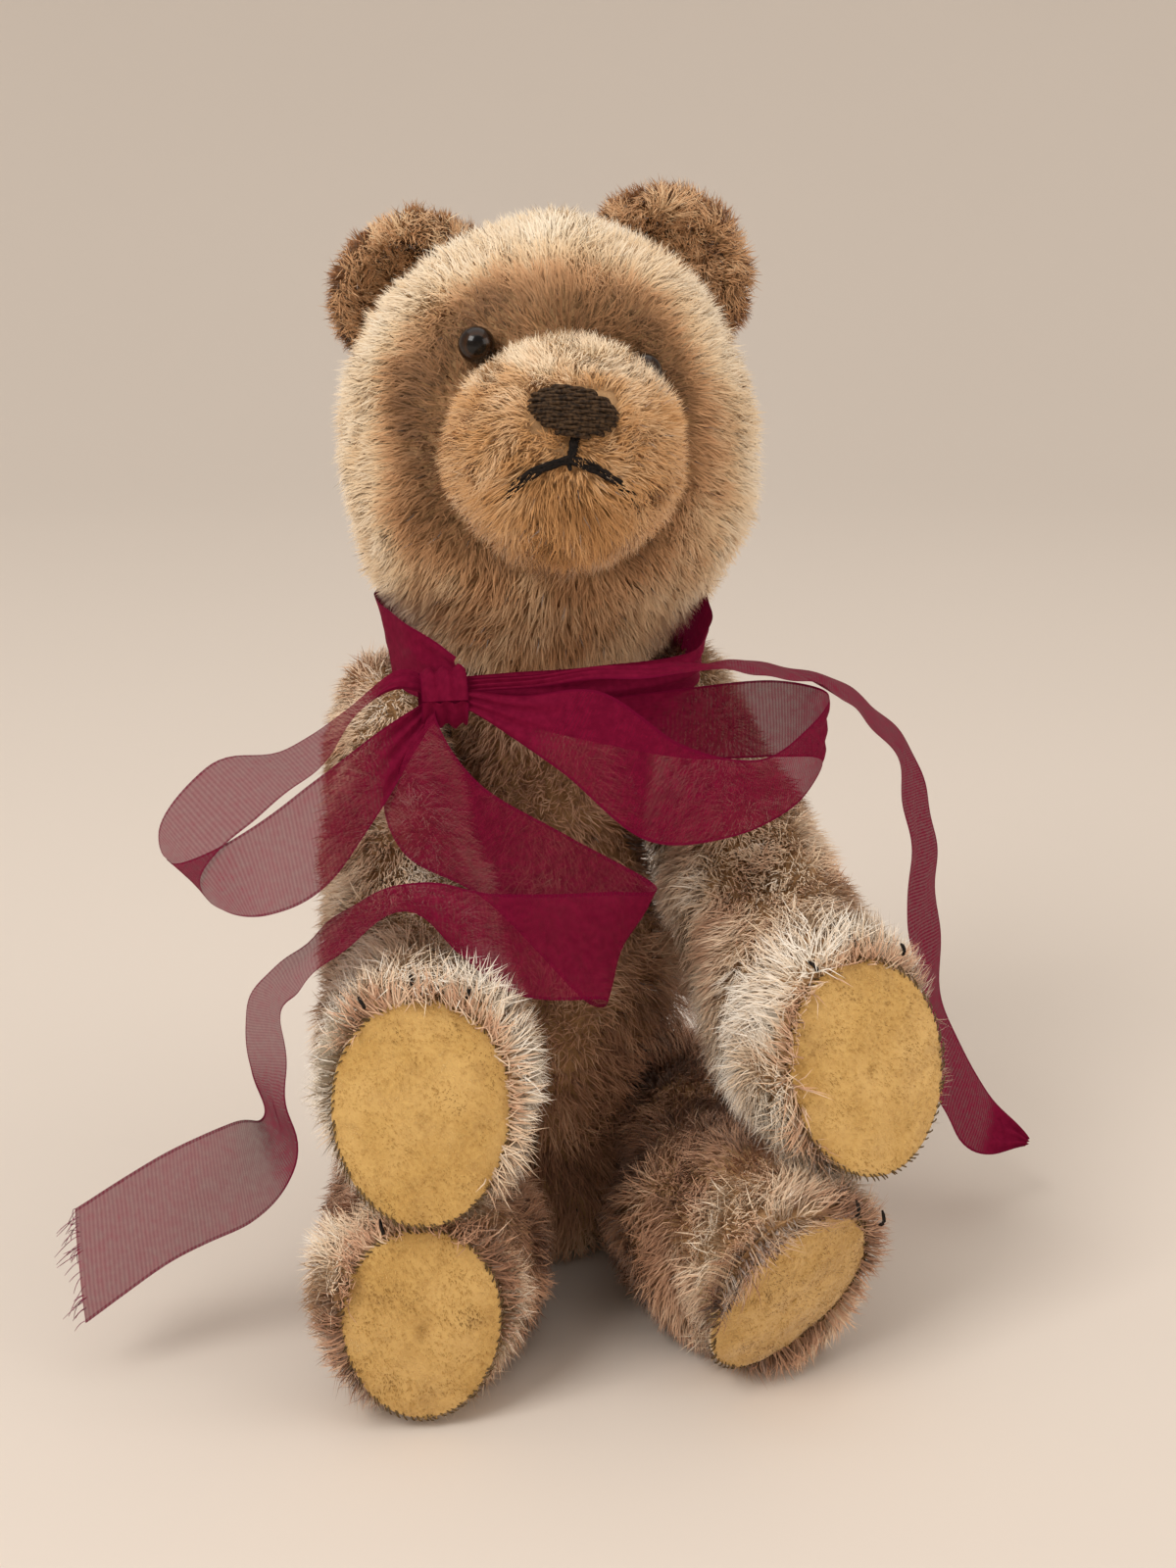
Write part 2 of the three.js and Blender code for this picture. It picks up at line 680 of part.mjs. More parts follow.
function buildHead() {
  const up = new THREE.Vector3(0, 0, 1);
  const down = new THREE.Vector3(0, 0, -1);
  const own = ownJoint(neckJoint, up);
  const skull = headSolid(coverWall, ...facets.headInside).subtract(beyond(new THREE.Vector3(0, 0, stack.cover), down));
  const muzzleMouth = muzzleBall(muzzleWall, ...facets.muzzleInside);
  let cover = headSolid(0, ...facets.head)
    .subtract(beyond(new THREE.Vector3(0, 0, gap / 2), down))
    .subtract(skull)
    .subtract(muzzleMouth)
    .subtract(placed(rod(pinBore, -reachPast, reachPast, facets.hole), own.frame));
  cover = cutPocket(cover, own, 1);
  let muzzle = muzzleBall(0, ...facets.muzzle).subtract(muzzleMouth).subtract(headSolid(-gap, ...facets.head));
  const packed = headSolid(coverWall + gap, ...facets.headInside)
    .subtract(beyond(new THREE.Vector3(0, 0, stack.cover + gap), down))
    .add(muzzleBall(muzzleWall + gap, ...facets.muzzleInside));
  let stuffing = cutPocket(packed, own, 1);
  const head = new THREE.Group();
  for (const side of Object.keys(sides)) {
    const centre = eyeCentre(side);
    const socket = toSolid(new THREE.SphereGeometry(eyeRadius + gap, ...facets.eye).translate(...centre.toArray()));
    cover = cover.subtract(socket);
    muzzle = muzzle.subtract(socket);
    stuffing = stuffing.subtract(socket);
    const ball = new THREE.SphereGeometry(eyeRadius, ...facets.eye).translate(...centre.toArray());
    head.add(piece(`${side}_eye`, 'glass', toSolid(ball)));
    head.add(piece(`${side}_ear`, 'earMohair', ear(side)));
  }
  head.add(
    piece('head_cover', 'mohair', cover),
    piece('muzzle_cover', 'muzzleMohair', muzzle),
    piece('head_stuffing', 'woodWool', stuffing),
    piece('nose_stitching', 'noseFloss', noseStitching()),
    piece('mouth_stitching', 'mouthThread', mouthStitching()),
    piece('neck_head_disc', 'hardboard', disc(own, 1)),
    piece('neck_head_washer', 'steel', washer(own, 1)),
  );
  head.position.copy(neckPoint);
  head.rotation.set(0, radians(neckTilt), radians(headTurn), 'YZX');
  return head;
}

// Ribbon: one strip of organza, shown by where its two edges pass, with each stretch a bent box
function ribbonStretch(edges, steps) {
  const first = new THREE.CatmullRomCurve3(edges.map(([a]) => new THREE.Vector3(...a)));
  const second = new THREE.CatmullRomCurve3(edges.map(([, b]) => new THREE.Vector3(...b)));
  const box = new THREE.BoxGeometry(1, 1, ribbonThickness, steps, 1, 1);
  const points = box.attributes.position;
  for (let i = 0; i < points.count; i += 1) {
    const along = points.getX(i) + 0.5;
    const a = first.getPoint(along);
    const b = second.getPoint(along);
    const across = b.clone().sub(a);
    const travel = first.getTangent(along).add(second.getTangent(along));
    const face = travel.cross(across).normalize();
    const place = a.addScaledVector(across, points.getY(i) + 0.5).addScaledVector(face, points.getZ(i));
    points.setXYZ(i, place.x, place.y, place.z);
  }
  return toSolid(box);
}

// Each entry is a pair of points across the ribbon, in the bear's frame
const knot = [-19.5, -22.5, 104];
const knotSize = [4.2, 3.4, 4.6];
const neckBand = [
  [[-19, -22, 106], [-19, -22.6, 102]],
  [[-26.5, -12, 110], [-26.5, -13, 105]],
  [[-29.5, 4, 112.5], [-29.5, 3, 105.5]],
  [[-24, 27, 110.5], [-24, 27.5, 104.5]],
  [[0, 40, 108], [0, 39, 101]],
  [[24, 27, 110.5], [24, 27.5, 104.5]],
  [[29.5, 4, 111.5], [29.5, 3, 105]],
  [[22, -15, 107], [22, -16, 102]],
  [[2, -24.5, 106], [1, -25, 101]],
  [[-19, -22, 105], [-19, -23, 102]],
];
const rightLoop = [
  [[-20, -22.5, 105], [-20, -23, 103]],
  [[-26, -20, 107], [-27, -27, 106]],
  [[-34, -15, 100], [-33, -28, 102]],
  [[-43, -14, 94], [-40, -29, 94]],
  [[-55, -15, 92], [-48, -30, 88]],
  [[-63, -19, 84], [-57, -32, 80]],
  [[-61, -27, 80], [-54, -37, 76]],
  [[-50, -31, 86], [-47, -38, 75]],
  [[-40, -31, 93], [-38, -36, 79]],
  [[-29, -28, 100], [-28, -30, 91]],
  [[-20, -23, 104], [-20, -24, 102]],
];
const leftLoop = [
  [[-19, -23, 105], [-18, -24, 103]],
  [[-9, -31, 105], [-12, -31, 100]],
  [[3, -35, 106], [-3, -36, 94]],
  [[15, -38, 98], [9, -40, 84]],
  [[27, -37, 95], [22, -40, 84]],
  [[36, -31, 98], [34, -35, 87]],
  [[42, -23, 101], [40, -26, 91]],
  [[34, -20, 103], [34, -22, 91]],
  [[20, -22, 103], [19, -24, 92]],
  [[2, -27, 103], [1, -28, 97]],
  [[-18, -23, 104], [-18, -24, 102]],
];
const longTail = [
  [[-19, -23, 104], [-20, -23, 101]],
  [[-21, -28, 101], [-29, -28, 93]],
  [[-15, -33, 92], [-27, -33, 82]],
  [[-2, -36, 84], [-15, -37, 75]],
  [[11, -38, 76], [-1, -42, 60]],
  [[2, -43.5, 77.5], [1, -46, 61.5]],
  [[-14, -43, 78], [-13, -47, 64]],
  [[-28, -37, 78], [-28, -48, 77]],
  [[-43, -28, 66], [-42, -45, 67]],
  [[-50, -21, 54], [-48, -36, 58]],
  [[-50, -19, 43], [-48, -32, 47]],
  [[-47, -24, 37], [-45, -33, 33]],
  [[-54, -33, 40], [-52, -35, 24]],
  [[-65, -32, 35], [-64, -36, 19]],
  [[-79, -30, 26], [-78, -37, 10]],
];
const shortTail = [
  [[-19, -23, 106], [-19, -24, 104]],
  [[3, -29, 108], [3, -32, 107]],
  [[21, -22, 107], [18, -35, 109]],
  [[35, -12, 104], [33, -26, 105]],
  [[48, -5, 99], [45, -19, 100]],
  [[57, -1, 92], [52, -15, 94]],
  [[64, 1, 82], [58, -13, 85]],
  [[68, 3, 68], [61, -12, 71]],
  [[69, 3, 52], [62, -12, 54]],
  [[71, 0, 36], [64, -13, 33]],
  [[79, -3, 22], [73, -14, 16]],
  [[86, -6, 13], [85.5, -7, 12]],
];

function buildRibbon() {
  const bow = new THREE.SphereGeometry(1, ...facets.eye).scale(...knotSize).translate(...knot);
  const strips = [[neckBand, 12], [rightLoop, 12], [leftLoop, 12], [longTail, 18], [shortTail, 12]];
  let ribbon = toSolid(bow);
  for (const [edges, steps] of strips) {
    ribbon = ribbon.add(ribbonStretch(edges, steps));
  }
  return piece('neck_ribbon', 'organza', ribbon.simplify(weldWithin));
}

const bear = new THREE.Group();
bear.add(buildTorso(), buildHead(), buildRibbon());
for (const side of Object.keys(sides)) {
  bear.add(buildArm(side), buildLeg(side));
}

export default bear;
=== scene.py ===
import json
import math

import bpy
import numpy as np
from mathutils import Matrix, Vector

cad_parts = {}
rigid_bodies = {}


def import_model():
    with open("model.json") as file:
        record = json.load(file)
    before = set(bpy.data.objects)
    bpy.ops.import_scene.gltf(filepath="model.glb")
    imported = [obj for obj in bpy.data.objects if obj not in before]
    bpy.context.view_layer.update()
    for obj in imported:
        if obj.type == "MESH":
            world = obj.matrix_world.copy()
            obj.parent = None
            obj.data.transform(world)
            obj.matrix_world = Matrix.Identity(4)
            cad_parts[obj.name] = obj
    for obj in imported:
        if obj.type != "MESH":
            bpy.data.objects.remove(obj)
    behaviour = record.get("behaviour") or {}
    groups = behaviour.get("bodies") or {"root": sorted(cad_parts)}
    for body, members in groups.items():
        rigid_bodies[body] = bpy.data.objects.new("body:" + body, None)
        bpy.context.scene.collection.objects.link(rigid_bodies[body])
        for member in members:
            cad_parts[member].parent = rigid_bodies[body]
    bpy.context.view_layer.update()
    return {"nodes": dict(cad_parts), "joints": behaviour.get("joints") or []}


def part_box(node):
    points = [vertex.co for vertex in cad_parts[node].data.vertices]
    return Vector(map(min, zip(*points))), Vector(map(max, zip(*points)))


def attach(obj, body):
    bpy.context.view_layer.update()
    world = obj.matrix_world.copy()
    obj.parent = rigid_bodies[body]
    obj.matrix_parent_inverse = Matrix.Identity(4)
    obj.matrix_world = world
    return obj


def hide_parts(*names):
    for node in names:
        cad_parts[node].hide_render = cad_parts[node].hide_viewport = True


for leftover in list(bpy.data.objects):
    bpy.data.objects.remove(leftover)
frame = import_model()
scene = bpy.context.scene
mm = 0.001
up = np.array([0.0, 0.0, 1.0])
sides = {"left": 1, "right": -1}
print("frame loaded:", len(frame["nodes"]), "nodes")


# Arrays

def unit(v):
    return v / np.maximum(np.linalg.norm(v, axis=-1, keepdims=True), 1e-12)


def dot(a, b):
    return (a * b).sum(-1, keepdims=True)


def turn(axis, degrees):
    # rotation matrix about one of the three axes
    c, s = math.cos(math.radians(degrees)), math.sin(math.radians(degrees))
    rows = {"x": [[1, 0, 0], [0, c, -s], [0, s, c]], "y": [[c, 0, s], [0, 1, 0], [-s, 0, c]],
            "z": [[c, -s, 0], [s, c, 0], [0, 0, 1]]}
    return np.array(rows[axis], float)


def ease(x, low, high):
    # 0 below low, 1 above high, smooth between
    t = np.clip((x - low) / (high - low), 0, 1)
    return t * t * (3 - 2 * t)


def hump(distance, width):
    return np.exp(-(distance / width) ** 2)


def waves(points, size, seed, count=14):
    # soft noise near -1 to 1: a sum of sines, each along its own direction, about one size long
    rng = np.random.default_rng(seed)
    ways = unit(rng.normal(size=(count, 3))) * rng.uniform(0.6, 1.5, (count, 1)) * 2 * math.pi / size
    return np.sin(points @ ways.T + rng.uniform(0, 2 * math.pi, count)).sum(-1) * math.sqrt(1.2 / count)


def scatter(cells, seed):
    # one random number from 0 to 1 for each cell of whole numbers
    mixed = np.sin(cells @ np.array([12.9898, 78.233, 37.719]) + seed * 7.13) * 43758.5453
    return mixed - np.floor(mixed)


def curve(points, t):
    # smooth line through the points, spaced evenly in t from 0 to 1, bent as its neighbours lead
    points = np.asarray(points, float)
    ends = np.concatenate([[2 * points[0] - points[1]], points, [2 * points[-1] - points[-2]]])
    place = np.clip(np.asarray(t, float), 0, 1) * (len(points) - 1)
    k = np.minimum(place.astype(int), len(points) - 2)
    f = (place - k).reshape(place.shape + (1,) * (points.ndim - 1))
    a, b, c, d = (ends[k + i] for i in range(4))
    return 0.5 * (2 * b + (c - a) * f + (2 * a - 5 * b + 4 * c - d) * f**2 + (3 * b - a - 3 * c + d) * f**3)


# Meshes

def makeMesh(name, vertices, faces, uv=None, normals=None):
    # faces is a list of index arrays, each with one face to a row; uv and normals are for each vertex
    sizes = np.concatenate([np.full(len(f), f.shape[1]) for f in faces])
    loops = np.concatenate([f.ravel() for f in faces]).astype(np.int32)
    mesh = bpy.data.meshes.new(name)
    mesh.vertices.add(len(vertices))
    mesh.vertices.foreach_set("co", np.ascontiguousarray(vertices, np.float32).ravel())
    mesh.loops.add(len(loops))
    mesh.loops.foreach_set("vertex_index", loops)
    mesh.polygons.add(len(sizes))
    mesh.polygons.foreach_set("loop_start", np.concatenate([[0], np.cumsum(sizes)[:-1]]).astype(np.int32))
    mesh.polygons.foreach_set("use_smooth", np.full(len(sizes), True))
    mesh.update(calc_edges=True)
    if uv is not None:
        layer = mesh.uv_layers.new(name="OFBake")
        layer.data.foreach_set("uv", np.ascontiguousarray(uv[loops], np.float32).ravel())
    if normals is not None:
        mesh.normals_split_custom_set_from_vertices(normals.astype(np.float32))
    made = bpy.data.objects.new(name, mesh)
    scene.collection.objects.link(made)
    return made


def closedGrid(grid):
    # vertices and faces of a grid whose columns run round and whose first and last rows are single points
    rows, columns = grid.shape[:2]
    body = grid[1:-1].reshape(-1, 3)
    vertices = np.concatenate([grid[0, :1], body, grid[-1, :1]])
    here = 1 + np.arange((rows - 2) * columns).reshape(rows - 2, columns)
    after = np.roll(here, -1, axis=1)
    quads = np.stack([here[:-1], here[1:], after[1:], after[:-1]], -1).reshape(-1, 4)
    first = np.stack([np.zeros(columns, int), here[0], after[0]], -1)
    last = np.stack([np.full(columns, len(vertices) - 1), after[-1], here[-1]], -1)
    return vertices, [quads, first, last]


def facingOut(vertices, faces):
    # turns every face round if the closed shape encloses a negative volume
    tri = np.concatenate([f[:, [0, 1, 2]] for f in faces] + [f[:, [0, 2, 3]] for f in faces if f.shape[1] == 4])
    a, b, c = (vertices[tri[:, i]] for i in range(3))
    return faces if (a * np.cross(b, c)).sum() > 0 else [f[:, ::-1] for f in faces]


def tubes(paths, radius, around=5):
    # threads: a ring of points round each path, closed by a point at each end; paths is (threads, steps, 3)
    count, steps = paths.shape[:2]
    ahead = unit(np.gradient(paths, axis=1))
    side = unit(np.cross(ahead, unit(np.array([0.31, 0.22, 0.93]))))
    over = np.cross(ahead, side)
    angle = np.linspace(0, 2 * math.pi, around, endpoint=False)
    thick = radius * np.concatenate([[0.55], np.ones(steps - 2), [0.55]])[None, :, None, None]
    spokes = side[:, :, None] * np.cos(angle)[:, None] + over[:, :, None] * np.sin(angle)[:, None]
    rings = paths[:, :, None] + thick * spokes
    index = np.arange(count * steps * around).reshape(count, steps, around)
    after = np.roll(index, -1, axis=2)
    quads = np.stack([index[:, :-1], index[:, 1:], after[:, 1:], after[:, :-1]], -1).reshape(-1, 4)
    starts = index[:, 0]
    ends = index[:, -1, ::-1]
    along = np.broadcast_to(np.linspace(0, 1, steps)[None, :, None], index.shape)
    thread = np.broadcast_to((np.arange(count) + 0.5)[:, None, None] / count, index.shape)
    turned = np.broadcast_to(np.linspace(0, 0.8, around) / count, index.shape)
    uv = np.stack([along, thread + turned - 0.4 / count], -1).reshape(-1, 2)
    return rings.reshape(-1, 3), [quads, starts, ends], uv


# Places: each body's own frame, from its joint and the pose in the photograph, in degrees

pose = {"neckTilt": 4, "headTurn": -7, "headPitch": 6, "leftSwing": 36, "rightSwing": 36.5, "leftSplay": 12}
pileDepth = {"head": 2.1 * mm, "body": 1.4 * mm}  # how far the cloth lies inside the outline that the pile gives
pin = {j["child"]: np.array(j["pos_m"], float) for j in frame["joints"]}
places = {
    "torso": (np.zeros(3), np.eye(3)),
    "head": (pin["head"], turn("y", pose["neckTilt"]) @ turn("z", pose["headTurn"])),
    "left_arm": (pin["left_arm"], turn("z", pose["leftSplay"]) @ turn("x", pose["leftSwing"])),
    "right_arm": (pin["right_arm"], turn("x", pose["rightSwing"])),
    "left_leg": (pin["left_leg"], np.eye(3)),
    "right_leg": (pin["right_leg"], np.eye(3)),
}


def toRow(points, body):
    origin, matrix = places[body]
    return points @ matrix.T + origin


def toBody(points, body):
    origin, matrix = places[body]
    return (points - origin) @ matrix


def shell(name, body, grid):
    # a closed grid in the body's own frame, made into a piece that rides the body
    vertices, faces = closedGrid(toRow(grid.reshape(-1, 3), body).reshape(grid.shape))
    made = makeMesh(name, vertices, facingOut(vertices, faces))
    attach(made, body)
    return made


def threads(name, body, paths, radius, around=5):
    # tubes along paths in the body's own frame, made into one piece that rides the body
    vertices, faces, uv = tubes(toRow(paths.reshape(-1, 3), body).reshape(paths.shape), radius, around)
    made = makeMesh(name, vertices, faces, uv)
    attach(made, body)
    return made


def ball(theta, phi):
    # unit ball with its pole at the front: theta from 0 there to pi at the back, phi round it
    return np.stack([np.sin(theta) * np.cos(phi), -np.cos(theta) * np.ones_like(phi), np.sin(theta) * np.sin(phi)], -1)


# Materials

class Wire:
    # a shader socket that can be used in sums

    def __init__(self, paint, socket):
        self.paint, self.socket = paint, socket

    def sum(self, operation, *others):
        return self.paint.node("ShaderNodeMath", {"operation": operation}, dict(enumerate((self, *others))))[0]

    def __add__(self, other):
        return self.sum("ADD", other)

    def __radd__(self, other):
        return self.sum("ADD", other)

    def __sub__(self, other):
        return self.sum("SUBTRACT", other)

    def __mul__(self, other):
        return self.sum("MULTIPLY", other)

    def clamped(self):
        return self.paint.node("ShaderNodeClamp", {}, {0: self})[0]

    def between(self, low, high):
        settings = {"interpolation_type": "SMOOTHSTEP"}
        return self.paint.node("ShaderNodeMapRange", settings, {0: self, 1: low, 2: high})[0]


class Paint:
    # one material being built

    def __init__(self, name):
        self.material = bpy.data.materials.new(name)
        self.material.use_nodes = True
        self.tree = self.material.node_tree
        self.tree.nodes.clear()
        self.output = self.tree.nodes.new("ShaderNodeOutputMaterial")

    def node(self, kind, settings=None, inputs=None):
        made = self.tree.nodes.new(kind)
        for key, value in (settings or {}).items():
            if key == "stops":
                self.setStops(made.color_ramp, value)
            else:
                setattr(made, key, value)
        for key, value in (inputs or {}).items():
            if isinstance(value, Wire):
                self.tree.links.new(value.socket, made.inputs[key])
            else:
                made.inputs[key].default_value = value
        return [Wire(self, s) for s in made.outputs]

    @staticmethod
    def setStops(ramp, stops):
        while len(ramp.elements) < len(stops):
            ramp.elements.new(1.0)
        for element, (at, colour) in zip(ramp.elements, stops):
            element.position, element.color = at, colour

    def place(self):
        return self.node("ShaderNodeTexCoord")[3]

    def uv(self):
        settings = {"uv_map": "OFBake"}
        return self.node("ShaderNodeSeparateXYZ", {}, {0: self.node("ShaderNodeUVMap", settings)[0]})

    def noise(self, size, detail=3.0, rough=0.5):
        inputs = {"Vector": self.place(), "Scale": 1 / size, "Detail": detail, "Roughness": rough}
        return self.node("ShaderNodeTexNoise", {}, inputs)[0]

    def ramp(self, factor, stops):
        return self.node("ShaderNodeValToRGB", {"stops": stops}, {0: factor})[0]

    def mix(self, factor, first, second):
        return self.node("ShaderNodeMix", {"data_type": "RGBA"}, {0: factor, 6: first, 7: second})[2]

    def bump(self, height, strength, depth):
        inputs = {"Height": height, "Strength": strength, "Distance": depth}
        return self.node("ShaderNodeBump", {}, inputs)[0]

    def finish(self, **inputs):
        named = {key.replace("_", " "): value for key, value in inputs.items()}
        shader = self.node("ShaderNodeBsdfPrincipled", {}, named)[0]
        self.tree.links.new(shader.socket, self.output.inputs["Surface"])
        return self.material


def colour(code):
    # a colour as seen on a screen, made into light values
    parts = [int(code[i:i + 2], 16) / 255 for i in (0, 2, 4)]
    return tuple(c / 12.92 if c <= 0.04045 else ((c + 0.055) / 1.055) ** 2.4 for c in parts) + (1.0,)


def furMaterial(name, roots, tips):
    # colour by the strand's own tone (u, 0 dark to 1 pale; the tone carries painted light and painted shade as well as
    # the pile's own colour) and the way up it (v, root to tip; the darker roots are partly the pile's own two-tone,
    # partly painted shade deep in the pile)
    paint = Paint(name)
    tone, tip = paint.uv()[:2]
    low = paint.ramp(tone, [(i / (len(roots) - 1), colour(c)) for i, c in enumerate(roots)])
    high = paint.ramp(tone, [(i / (len(tips) - 1), colour(c)) for i, c in enumerate(tips)])
    shade = paint.mix(tip.between(0.05, 0.85), low, high)
    return paint.finish(Base_Color=shade, Roughness=0.62, Sheen_Weight=0.25, Sheen_Roughness=0.4,
                        Specular_IOR_Level=0.25)


def backingMaterial(name, dark, light):
    # woven cloth under the pile: threads of two sizes and soiled patches
    paint = Paint(name)
    patches = paint.noise(9 * mm, 4)
    threads = paint.noise(0.5 * mm, 2)
    shade = paint.mix(patches.between(0.35, 0.65), colour(dark), colour(light))
    shade = paint.mix(threads * 0.5, shade, colour(dark))
    return paint.finish(Base_Color=shade, Roughness=0.95, Normal=paint.bump(threads, 0.6, 0.4 * mm))


def flossMaterial(name, dark, light):
    # silky thread, darker and lighter in streaks; the lighter streaks are painted sheen
    paint = Paint(name)
    streak = paint.noise(0.5 * mm, 3)
    shade = paint.mix(streak.between(0.35, 0.65), colour(dark), colour(light))
    return paint.finish(Base_Color=shade, Roughness=0.75, Specular_IOR_Level=0.2,
                        Normal=paint.bump(streak, 0.3, 0.1 * mm))


def fibrous(name, fibre, colours, roughness, relief):
    # fibre is the noise's size, detail and roughness; relief is the bump's strength and depth
    paint = Paint(name)
    grain = paint.noise(*fibre)
    return paint.finish(Base_Color=paint.mix(grain, *(colour(c) for c in colours)), Roughness=roughness,
                        Normal=paint.bump(grain, *relief))


print("tools ready")


# Fur: blades standing on a surface, leaning along a flow, pulled together in tufts

def surfaceSamples(grid, count, rng):
    # random points on a grid surface, evenly by area, with the surface's outward normal
    closed = np.concatenate([grid, grid[:, :1]], axis=1)
    across = np.gradient(closed, axis=1)
    across[:, 0] = across[:, -1] = (closed[:, 1] - closed[:, -2]) / 2
    normals = np.cross(np.gradient(closed, axis=0), across)
    a, b, c, d = closed[:-1, :-1], closed[1:, :-1], closed[1:, 1:], closed[:-1, 1:]
    area = np.linalg.norm(np.cross(c - a, d - b), axis=-1)
    middle = closed[:-1, :-1].reshape(-1, 3).mean(0)
    outward = np.sign((normals[:-1, :-1] * (a - middle)).sum()) or 1.0
    cell = rng.choice(area.size, count, p=(area / area.sum()).ravel())
    row, column = np.divmod(cell, area.shape[1])
    f, g = rng.random((2, count, 1))

    def within(values):
        low = values[row, column] * (1 - g) + values[row, column + 1] * g
        return low * (1 - f) + (values[row + 1, column] * (1 - g) + values[row + 1, column + 1] * g) * f

    return within(closed), unit(within(normals)) * outward


# lengths in mm and angles in degrees; each piece's own settings say only what differs
plainPile = {"width": 0.26, "lean": 28, "leanSpread": 14, "droop": 26, "swirl": 0.6, "swirlSize": 14, "stray": 0.4,
             "tuft": 2.8, "clump": 0.42, "mottle": 0.06, "wear": 0.2, "spare": 1.4}


def fur(name, body, grid, style, flow, tone, keep, lengthAt=None):
    # everything is in the body's own frame until the blades are whole
    style = {**plainPile, **style}
    rng = np.random.default_rng(style["seed"])
    roots, normals = surfaceSamples(grid, int(style["blades"] * style["spare"]), rng)
    kept = rng.random(len(roots)) < keep(roots, normals)
    roots, normals = roots[kept][:style["blades"]], normals[kept][:style["blades"]]
    count = len(roots)
    length = style["length"] * mm * rng.uniform(0.65, 1.1, (count, 1))
    length = length * (1 - style["wear"] * ease(waves(roots, 16 * mm, style["seed"] + 5), 0.1, 1.3)[:, None])
    if lengthAt is not None:
        length = length * lengthAt(roots, normals)[:, None]
    ahead = flow(roots, normals)
    swirl = np.stack([waves(roots, style["swirlSize"] * mm, style["seed"] + k) for k in range(3)], -1)
    ahead = ahead + style["swirl"] * swirl + style["stray"] * rng.normal(size=(count, 3))
    ahead = unit(ahead - dot(ahead, normals) * normals)
    lean = np.radians(style["lean"] + style["leanSpread"] * rng.normal(size=(count, 1)))
    droop = np.radians(style["droop"])
    first = normals * np.cos(lean) + ahead * np.sin(lean)
    second = normals * np.cos(lean + droop) + ahead * np.sin(lean + droop)
    middle = roots + first * length * 0.5
    tips = middle + second * length * 0.5
    # tufts: each cell of a warped lattice has its own centre that the tips are drawn to
    size = style["tuft"] * mm
    warp = np.stack([waves(roots, size * 3.5, style["seed"] + 20 + k) for k in range(3)], -1) * 0.45
    cells = np.floor(roots / size + warp)
    aim = np.stack([scatter(cells, style["seed"] + k) for k in range(3)], -1)
    centre = (cells + 0.2 + 0.6 * aim - warp) * size
    pull = centre + (ahead * 0.6 + normals * 0.55) * length - tips
    pull = pull * np.minimum(1, 1.2 * size / np.maximum(np.linalg.norm(pull, axis=1, keepdims=True), 1e-9))
    tips = tips + style["clump"] * pull
    middle = middle + style["clump"] * 0.3 * pull
    # flat blades, wide at the root, whose faces look out from the surface
    side = unit(np.cross(middle - roots, normals)) * style["width"] * mm / 2
    side = side * rng.uniform(0.7, 1.2, (count, 1))
    sunk = roots - normals * 0.4 * mm
    vertices = np.stack([sunk - side, sunk + side, middle + side * 0.75, middle - side * 0.75, tips], 1)
    shine = unit(0.75 * normals + 0.25 * unit(np.cross(side, tips - roots)) + 0.14 * rng.normal(size=(count, 3)))
    shine = np.repeat(shine[:, None], 5, axis=1)
    tones = np.clip(tone(roots, normals) + style["mottle"] * rng.normal(size=count), 0.02, 0.98)
    spread = np.array([-0.004, 0.004, 0.004, -0.004, 0.0])
    way = np.array([0.0, 0.0, 0.5, 0.5, 1.0])
    uv = np.stack([tones[:, None] + spread, np.broadcast_to(way, (count, 5))], -1).reshape(-1, 2)
    start = 5 * np.arange(count)[:, None]
    faces = [start + np.array([0, 1, 2, 3]), start + np.array([3, 2, 4])]
    placed = toRow(vertices.reshape(-1, 3), body)
    placed[:, 2] = np.maximum(placed[:, 2], 0.05 * mm)  # flattened where the bear sits on it
    made = makeMesh(name, placed, faces, uv, shine.reshape(-1, 3) @ places[body][1].T)
    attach(made, body)
    print(name, count, "blades")
    return made


def paintWith(made, material):
    made.data.materials.clear()
    made.data.materials.append(material)
    return made


def skinOf(name, body, grid, fill, material, slot, *nodes):
    # the stuffed cloth under the pile, closed, standing for the frame's own soft solid
    made = shell(name, body, grid)
    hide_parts(*nodes)
    return paintWith(made, material)


# Shapes of the stuffed pieces

def stuffed(stations, rows, columns, blunt, depth):
    # rings along a line: each station is across, ahead and up, then half width and half depth, in mm
    sideways = np.array([1.0, 0, 0])
    polar = np.linspace(0, math.pi, rows)
    around = np.linspace(0, 2 * math.pi, columns, endpoint=False)
    stations = np.array(stations) * mm
    trim = depth / np.linalg.norm(np.diff(stations[:, :3], axis=0), axis=1).sum()
    form = curve(stations, trim + (1 - 2 * trim) * (1 - np.cos(polar)) / 2)
    form[:, 3:] -= depth
    ahead = unit(np.gradient(form[:, :3], axis=0))
    depthwise = unit(np.cross(ahead, sideways))
    ring = np.sin(polar)[:, None] ** blunt
    wide = (np.cos(around) * ring * form[:, 3:4])[..., None] * sideways
    deep = (np.sin(around) * ring * form[:, 4:5])[..., None] * depthwise[:, None]
    return form[:, None, :3] + wide + deep


def pressed(grid, point, normal, soften=1.2 * mm):
    # nothing passes the plane: what would is laid on it, with a round edge
    normal = unit(np.asarray(normal, float))
    height = dot(grid - np.asarray(point, float), normal)
    return grid + (-soften * np.logaddexp(0, -height / soften) - height) * normal


def lumpy(grid, size, depth, seed):
    # wood wool never packs evenly: the surface moves along its own normal
    across = np.roll(grid, -1, axis=1) - np.roll(grid, 1, axis=1)
    normals = unit(np.cross(np.gradient(grid, axis=0), across))
    normals[0] = normals[1].mean(0)
    normals[-1] = normals[-2].mean(0)
    moved = grid + normals * (depth * mm * waves(grid.reshape(-1, 3), size * mm, seed).reshape(grid.shape[:2] + (1,)))
    moved[0], moved[-1] = moved[0].mean(0), moved[-1].mean(0)
    return moved


# Fur materials

